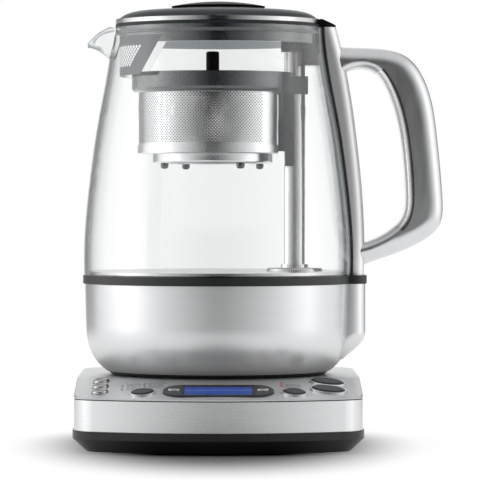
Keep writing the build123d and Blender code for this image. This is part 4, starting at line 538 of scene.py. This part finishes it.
element_alloy = Finish("element_alloy", Metallic=1.0)
element_alloy.tint(element_alloy.grain(300.0), grey(0.40), grey(0.60))
element_alloy.roughen(element_alloy.grain(300.0), 0.35, 0.55)
element_alloy.put_on("heating_element", "temperature_sensor", "lift_motor", "lift_screw", "lift_nut")
element_alloy.put_on("basket_magnet")

# ---------------------------------------------------------------- lift post
# A closed stainless tube with flattened sides, ground along its length. The screw and the
# magnet nut run inside it.
post_steel = Finish("post_steel", Metallic=1.0)
grinding = post_steel.grain(3000.0, (1.0, 1.0, 0.01))
post_steel.tint(grinding, grey(0.82), grey(0.93))
post_steel.roughen(grinding, 0.14, 0.24)
post_steel.relief(grinding, 0.000008)
post_steel.put_on("lift_post")

# ---------------------------------------------------------------- glass jug
# Clear borosilicate glass, blown into a mould, with the spout pulled out of its rim. Where the glass
# is seen edge-on it is tinted grey as painted shade, sooner at the spout and beside the spine.
GLASS_CLEAR = (0.962, 0.968, 0.970, 1.0)
GLASS_PAINTED_SHADE = (0.36, 0.40, 0.42, 1.0)
EDGE_SLANT = 0.79
EDGE_SOFT = 0.07
SPOUT_SOONER = 0.38
SPOUT_END_X = -0.068
SPOUT_FOOT_Z = 0.222
SPINE_SOONER = 0.17
SPINE_SIDE_X = 0.045
jug_glass = Finish("jug_glass", Transmission_Weight=1.0, IOR=1.47)
glass_x = jug_glass.along(0)
glass_z = jug_glass.along(2)
slant = jug_glass.node("ShaderNodeLayerWeight", None, {"Blend": 0.5}, output="Facing")
at_spout = (1.0 - glass_x.above(SPOUT_END_X, 0.004)) * glass_z.above(SPOUT_FOOT_Z, 0.008)
at_spine = glass_x.above(SPINE_SIDE_X, 0.02)
painted_edge_shade = (slant + SPOUT_SOONER * at_spout + SPINE_SOONER * at_spine).above(EDGE_SLANT, EDGE_SOFT)

# Two painted shade lines in grey under the spout's rim, which falls away from the lid as a parabola.
LIP_START_X = -0.0618
LIP_BEND_X = -0.0611
LIP_TOP_Z = 0.2456
LIP_FALL = 36.9
LIP_EDGE = 0.0009
SECOND_LINE = (0.0021, 0.0028)
LINE_SOFT = 0.0005
LINE_DEPTH = 0.6
past_bend = LIP_BEND_X - glass_x
under_lip = LIP_TOP_Z - LIP_FALL * past_bend * past_bend - glass_z
painted_lip_lines = 1.0 - under_lip.above(LIP_EDGE, LINE_SOFT) + under_lip.between(*SECOND_LINE, LINE_SOFT)
at_lip = 1.0 - glass_x.above(LIP_START_X, 0.001)
painted_edge_shade = jug_glass.maths("MAXIMUM", painted_edge_shade, LINE_DEPTH * at_lip * painted_lip_lines)
jug_glass.tint(painted_edge_shade, GLASS_CLEAR, GLASS_PAINTED_SHADE)
jug_glass.roughen(jug_glass.grain(60.0), 0.002, 0.008)
jug_glass.relief(jug_glass.grain(22.0), 0.00003)
jug_glass.put_on("glass_jug")

# ---------------------------------------------------------------- handle and spine
# Two aluminium castings, polished to a satin shine: the spine follows the glass from the seal
# to the lid, and the open handle is screwed to it. A polished strip lines the grip.
HANDLE_LIGHT = (0.80, 0.81, 0.82, 1.0)
HANDLE_DARK = (0.70, 0.71, 0.72, 1.0)
handle_metal = Finish("handle_metal", Metallic=1.0)
polish = handle_metal.grain(260.0, (1.0, 1.0, 0.2))
handle_metal.tint(polish, HANDLE_DARK, HANDLE_LIGHT)
handle_metal.roughen(polish, 0.28, 0.36)
handle_metal.relief(handle_metal.grain(90.0), 0.00001)
handle_metal.put_on("handle_shell")

spine_metal = Finish("spine_metal", Metallic=1.0)
blasting = spine_metal.grain(900.0)
spine_metal.tint(blasting, grey(0.80), grey(0.88))
spine_metal.roughen(blasting, 0.40, 0.48)
spine_metal.relief(blasting, 0.000004)
spine_metal.put_on("handle_spine")

trim_metal = Finish("trim_metal", Metallic=1.0)
trim_metal.tint(trim_metal.grain(200.0), grey(0.80), grey(0.90))
trim_metal.roughen(trim_metal.grain(60.0), 0.16, 0.21)
trim_metal.put_on("handle_trim")

# ---------------------------------------------------------------- jug lid
# A dark satin dome with a bright trim ring and a flat round knob. Under it are the slate-grey
# plug with its seal, the housing over the post's top and the strainer behind the spout.
KNOB_DARK = (0.006, 0.008, 0.009, 1.0)
KNOB_LIGHT = (0.012, 0.014, 0.016, 1.0)
gloss_black = Finish("gloss_black", Specular_IOR_Level=0.06)
gloss_black.tint(gloss_black.grain(150.0), KNOB_DARK, KNOB_LIGHT)
gloss_black.roughen(gloss_black.grain(220.0), 0.40, 0.48)
gloss_black.put_on("lid_knob", "spine_cap", "basket_lid_knob")

DOME_DARK = (0.030, 0.038, 0.043, 1.0)
DOME_LIGHT = (0.042, 0.051, 0.057, 1.0)
dome_dark = Finish("dome_dark", Specular_IOR_Level=0.2)
dome_dark.tint(dome_dark.grain(80.0), DOME_DARK, DOME_LIGHT)
dome_dark.roughen(dome_dark.grain(160.0), 0.30, 0.38)
dome_dark.put_on("lid_cap")

# The trim ring is silver, with a dark line along its foot and along its top.
RING_FOOT = 0.24785
RING_TOP = 0.25025
RING_LINE = 0.0003
trim_silver = Finish("trim_silver", Metallic=1.0)
ring_height = trim_silver.along(2)
ring_edges = ring_height.above(RING_TOP, RING_LINE) + (1.0 - ring_height.above(RING_FOOT, RING_LINE))
silver = trim_silver.blend(trim_silver.grain(300.0), grey(0.62), grey(0.72))
trim_silver.tint(ring_edges, silver, grey(0.05))
trim_silver.roughen(trim_silver.grain(300.0), 0.10, 0.18)
trim_silver.put_on("lid_trim_ring")

SLATE_DARK = (0.036, 0.046, 0.054, 1.0)
SLATE_LIGHT = (0.048, 0.059, 0.068, 1.0)


def slate_plastic(name):
    """Polished slate-grey plastic with a faint cloudiness."""
    slate = Finish(name, Specular_IOR_Level=0.9, Coat_Weight=1.0, Coat_IOR=1.7, Coat_Roughness=0.05)
    slate.tint(slate.grain(70.0), SLATE_DARK, SLATE_LIGHT)
    slate.roughen(slate.grain(180.0), 0.16, 0.24)
    return slate


def facing(finish, axis):
    """How far the surface faces along x, y or z, from -1 to 1."""
    return finish.part(finish.node("ShaderNodeNewGeometry", output="Normal"), axis)


REAR_FROM_Y = 0.010
REAR_FADE = 0.020


def paint_glow_through(finish, painted_glow, holes=0.0):
    """Painted glow standing in for light through thin plastic: the inner side of the rear wall glows, and
    so do the holes.
    """
    inner_side = 1.0 - facing(finish, 1).above(-0.2, 0.3)
    rear = inner_side * finish.along(1).above(REAR_FROM_Y, REAR_FADE)
    finish.shader.inputs["Emission Strength"].default_value = 1.0
    finish.vary(Emission_Color=finish.blend(rear + holes, grey(0.0), painted_glow))


# Painted glow on the inner side of the plug's rear wall.
PLUG_PAINTED_GLOW = (0.25, 0.27, 0.285, 1.0)
plug_slate = slate_plastic("plug_slate")
paint_glow_through(plug_slate, PLUG_PAINTED_GLOW)
plug_slate.put_on("lid_plug")

# The sides of the strainer's slanting holes are the faces that are neither upright nor level; they glow
# with painted light.
STRAINER_DARK = (0.13, 0.15, 0.165, 1.0)
STRAINER_LIGHT = (0.16, 0.18, 0.195, 1.0)
STRAINER_PAINTED_GLOW = grey(0.78)
STEEP_LOW = 0.35
STEEP_HIGH = 0.75
strainer_grey = Finish("strainer_grey")
strainer_grey.tint(strainer_grey.grain(90.0), STRAINER_DARK, STRAINER_LIGHT)
strainer_grey.roughen(strainer_grey.grain(180.0), 0.30, 0.40)
facing_up = facing(strainer_grey, 2)
steep = facing_up * facing_up
paint_glow_through(strainer_grey, STRAINER_PAINTED_GLOW, steep.between(STEEP_LOW, STEEP_HIGH, 0.1))
strainer_grey.put_on("spout_strainer")

SEAL_DARK = (0.20, 0.22, 0.23, 1.0)
SEAL_LIGHT = (0.30, 0.32, 0.33, 1.0)
seal_grey = Finish("seal_grey", Roughness=0.45, Specular_IOR_Level=0.45)
seal_grey.tint(seal_grey.grain(300.0), SEAL_DARK, SEAL_LIGHT)
seal_grey.put_on("lid_seal")

# ---------------------------------------------------------------- tea basket
# A cup of thin stainless sheet with rows of punched holes, spot-welded into a floor pan. The
# slate rim and bracket carry it on the lift post.
slate_plastic("slate_plastic").put_on("basket_rim", "basket_bracket", "basket_feet")

SHEET_LIGHT = (0.95, 0.955, 0.96, 1.0)
SHEET_DARK = (0.84, 0.85, 0.86, 1.0)
sheet_steel = brushed("sheet_steel", SHEET_LIGHT, SHEET_DARK, 0.24)
sheet_steel.put_on("basket_wall", "basket_band", "basket_cap", "basket_lid")

# Inside the cup and in its holes the steel is dull and darkened with painted shade, and darker still under
# the rim with a painted rim shadow.
RIM_SHADOW_FROM = 0.196
RIM_SHADOW_FADE = 0.020
cup_painted_shade = Finish("cup_painted_shade", Metallic=0.6)
blotches = cup_painted_shade.grain(60.0)
painted_rim_shadow = cup_painted_shade.along(2).above(RIM_SHADOW_FROM, RIM_SHADOW_FADE)
# Painted shade inside the cup, and a painted rim shadow near its top.
cup_painted_shade.tint(painted_rim_shadow, cup_painted_shade.blend(blotches, grey(0.10), grey(0.20)), grey(0.012))
cup_painted_shade.roughen(blotches, 0.40, 0.55)

# The wall is modelled with its holes. A station counts half pitches round the cup from the
# rear end of the punched part; after the last one the sheet runs plain to the flat and back.
CUP_R = 0.0438
CUP_X = -0.0034
CUP_FLAT_X = 0.0343
CUP_SHEET = 0.0006
PUNCHED_START = math.radians(48.0)
PUNCHED_ARC = math.radians(264.0)
STATIONS = 206
PLAIN_STEPS = 6
FLAT_STEPS = 4
LAST_STATION = STATIONS + 2 * PLAIN_STEPS + FLAT_STEPS - 1
ROW_HEIGHT = 0.00098
ROWS = 31
PUNCHED_FOOT = 0.1775
HOLE_R = 0.00046
HOLE_SIDES = 8
CREASE = math.radians(35.0)
cup_low, cup_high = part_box("basket_wall")
cup_points = []
cup_faces = []
cup_shaded_faces = []
cup_index = {}


def cup_plan(station, radius, flat_x):
    """The plan point of a sheet of this radius at a station."""
    corner = math.acos((flat_x - CUP_X) / radius)
    past = station - STATIONS
    if PLAIN_STEPS < past <= PLAIN_STEPS + FLAT_STEPS:
        half = radius * math.sin(corner)
        return (flat_x, half * (2.0 * (past - PLAIN_STEPS) / FLAT_STEPS - 1.0))
    if past <= 0:
        angle = PUNCHED_START + PUNCHED_ARC * station / STATIONS
    elif past <= PLAIN_STEPS:
        angle = -PUNCHED_START + (PUNCHED_START - corner) * past / PLAIN_STEPS
    else:
        angle = corner + (PUNCHED_START - corner) * (past - PLAIN_STEPS - FLAT_STEPS) / PLAIN_STEPS
    return (CUP_X + radius * math.cos(angle), radius * math.sin(angle))


def cup_point(station, height, inner):
    """Index of the sheet's point at a station and height, on its outer or inner side."""
    key = (round(station, 4), round(height, 7), inner)
    if key not in cup_index:
        cup_index[key] = len(cup_points)
        x, y = cup_plan(station, CUP_R - CUP_SHEET * inner, CUP_FLAT_X - CUP_SHEET * inner)
        cup_points.append((x, y, height))
    return cup_index[key]


def cup_patch(corners):
    """A face on both sides of the sheet through (station, height) corners."""
    outer = [cup_point(station, height, 0) for station, height in corners]
    inner = [cup_point(station, height, 1) for station, height in corners]
    cup_faces.append(outer)
    cup_shaded_faces.append(len(cup_faces))
    cup_faces.append(inner[::-1])


def cup_hole(station, foot):
    """A brick of sheet two stations long with a round hole through it."""
    top = foot + ROW_HEIGHT
    pitch = CUP_R * PUNCHED_ARC / STATIONS
    ring = []
    for step in range(HOLE_SIDES):
        angle = math.tau * step / HOLE_SIDES
        ring.append((station + 1 + HOLE_R * math.cos(angle) / pitch,
                     foot + ROW_HEIGHT / 2 + HOLE_R * math.sin(angle)))
    b0, b1, b2 = [(station + i, foot) for i in range(3)]
    t0, t1, t2 = [(station + i, top) for i in range(3)]
    cup_patch([b0, b1, ring[6], ring[5]])
    cup_patch([b1, b2, ring[7], ring[6]])
    cup_patch([b2, t2, ring[1], ring[0], ring[7]])
    cup_patch([t2, t1, ring[2], ring[1]])
    cup_patch([t1, t0, ring[3], ring[2]])
    cup_patch([t0, b0, ring[5], ring[4], ring[3]])
    outer = [cup_point(spot, height, 0) for spot, height in ring]
    inner = [cup_point(spot, height, 1) for spot, height in ring]
    for i in range(HOLE_SIDES):
        j = (i + 1) % HOLE_SIDES
        cup_shaded_faces.append(len(cup_faces))
        cup_faces.append((outer[i], inner[i], inner[j], outer[j]))


def next_station(station):
    """The station after this one; the last one closes on station 0."""
    return station + 1 if station < LAST_STATION else 0


def cup_plain(station, foot, top):
    """One plain step of sheet."""
    after = next_station(station)
    cup_patch([(station, foot), (after, foot), (after, top), (station, top)])


row_heights = [PUNCHED_FOOT + ROW_HEIGHT * row for row in range(ROWS + 1)]
for row, (foot, top) in enumerate(zip(row_heights, row_heights[1:])):
    station = row % 2
    if station:
        cup_plain(0, foot, top)
    while station + 2 <= STATIONS:
        cup_hole(station, foot)
        station += 2
    for plain in range(station, LAST_STATION + 1):
        cup_plain(plain, foot, top)
for foot, top in ((cup_low[2], row_heights[0]), (row_heights[-1], cup_high[2])):
    for station in range(LAST_STATION + 1):
        cup_plain(station, foot, top)
for height, flip in ((cup_low[2], 1), (cup_high[2], -1)):
    for station in range(LAST_STATION + 1):
        after = next_station(station)
        edge = [cup_point(station, height, 0), cup_point(station, height, 1),
                cup_point(after, height, 1), cup_point(after, height, 0)]
        cup_faces.append(edge[::flip])
cup_mesh = bpy.data.meshes.new("punched_wall")
cup_mesh.from_pydata(cup_points, [], cup_faces)
cup_mesh.materials.append(sheet_steel.material)
cup_mesh.materials.append(cup_painted_shade.material)
for face in cup_shaded_faces:
    cup_mesh.polygons[face].material_index = 1
cup_mesh.shade_smooth()
cup_mesh.set_sharp_from_angle(angle=CREASE)
punched_wall = bpy.data.objects.new("punched_wall", cup_mesh)
bpy.context.scene.collection.objects.link(punched_wall)
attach(punched_wall, "basket")
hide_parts("basket_wall")
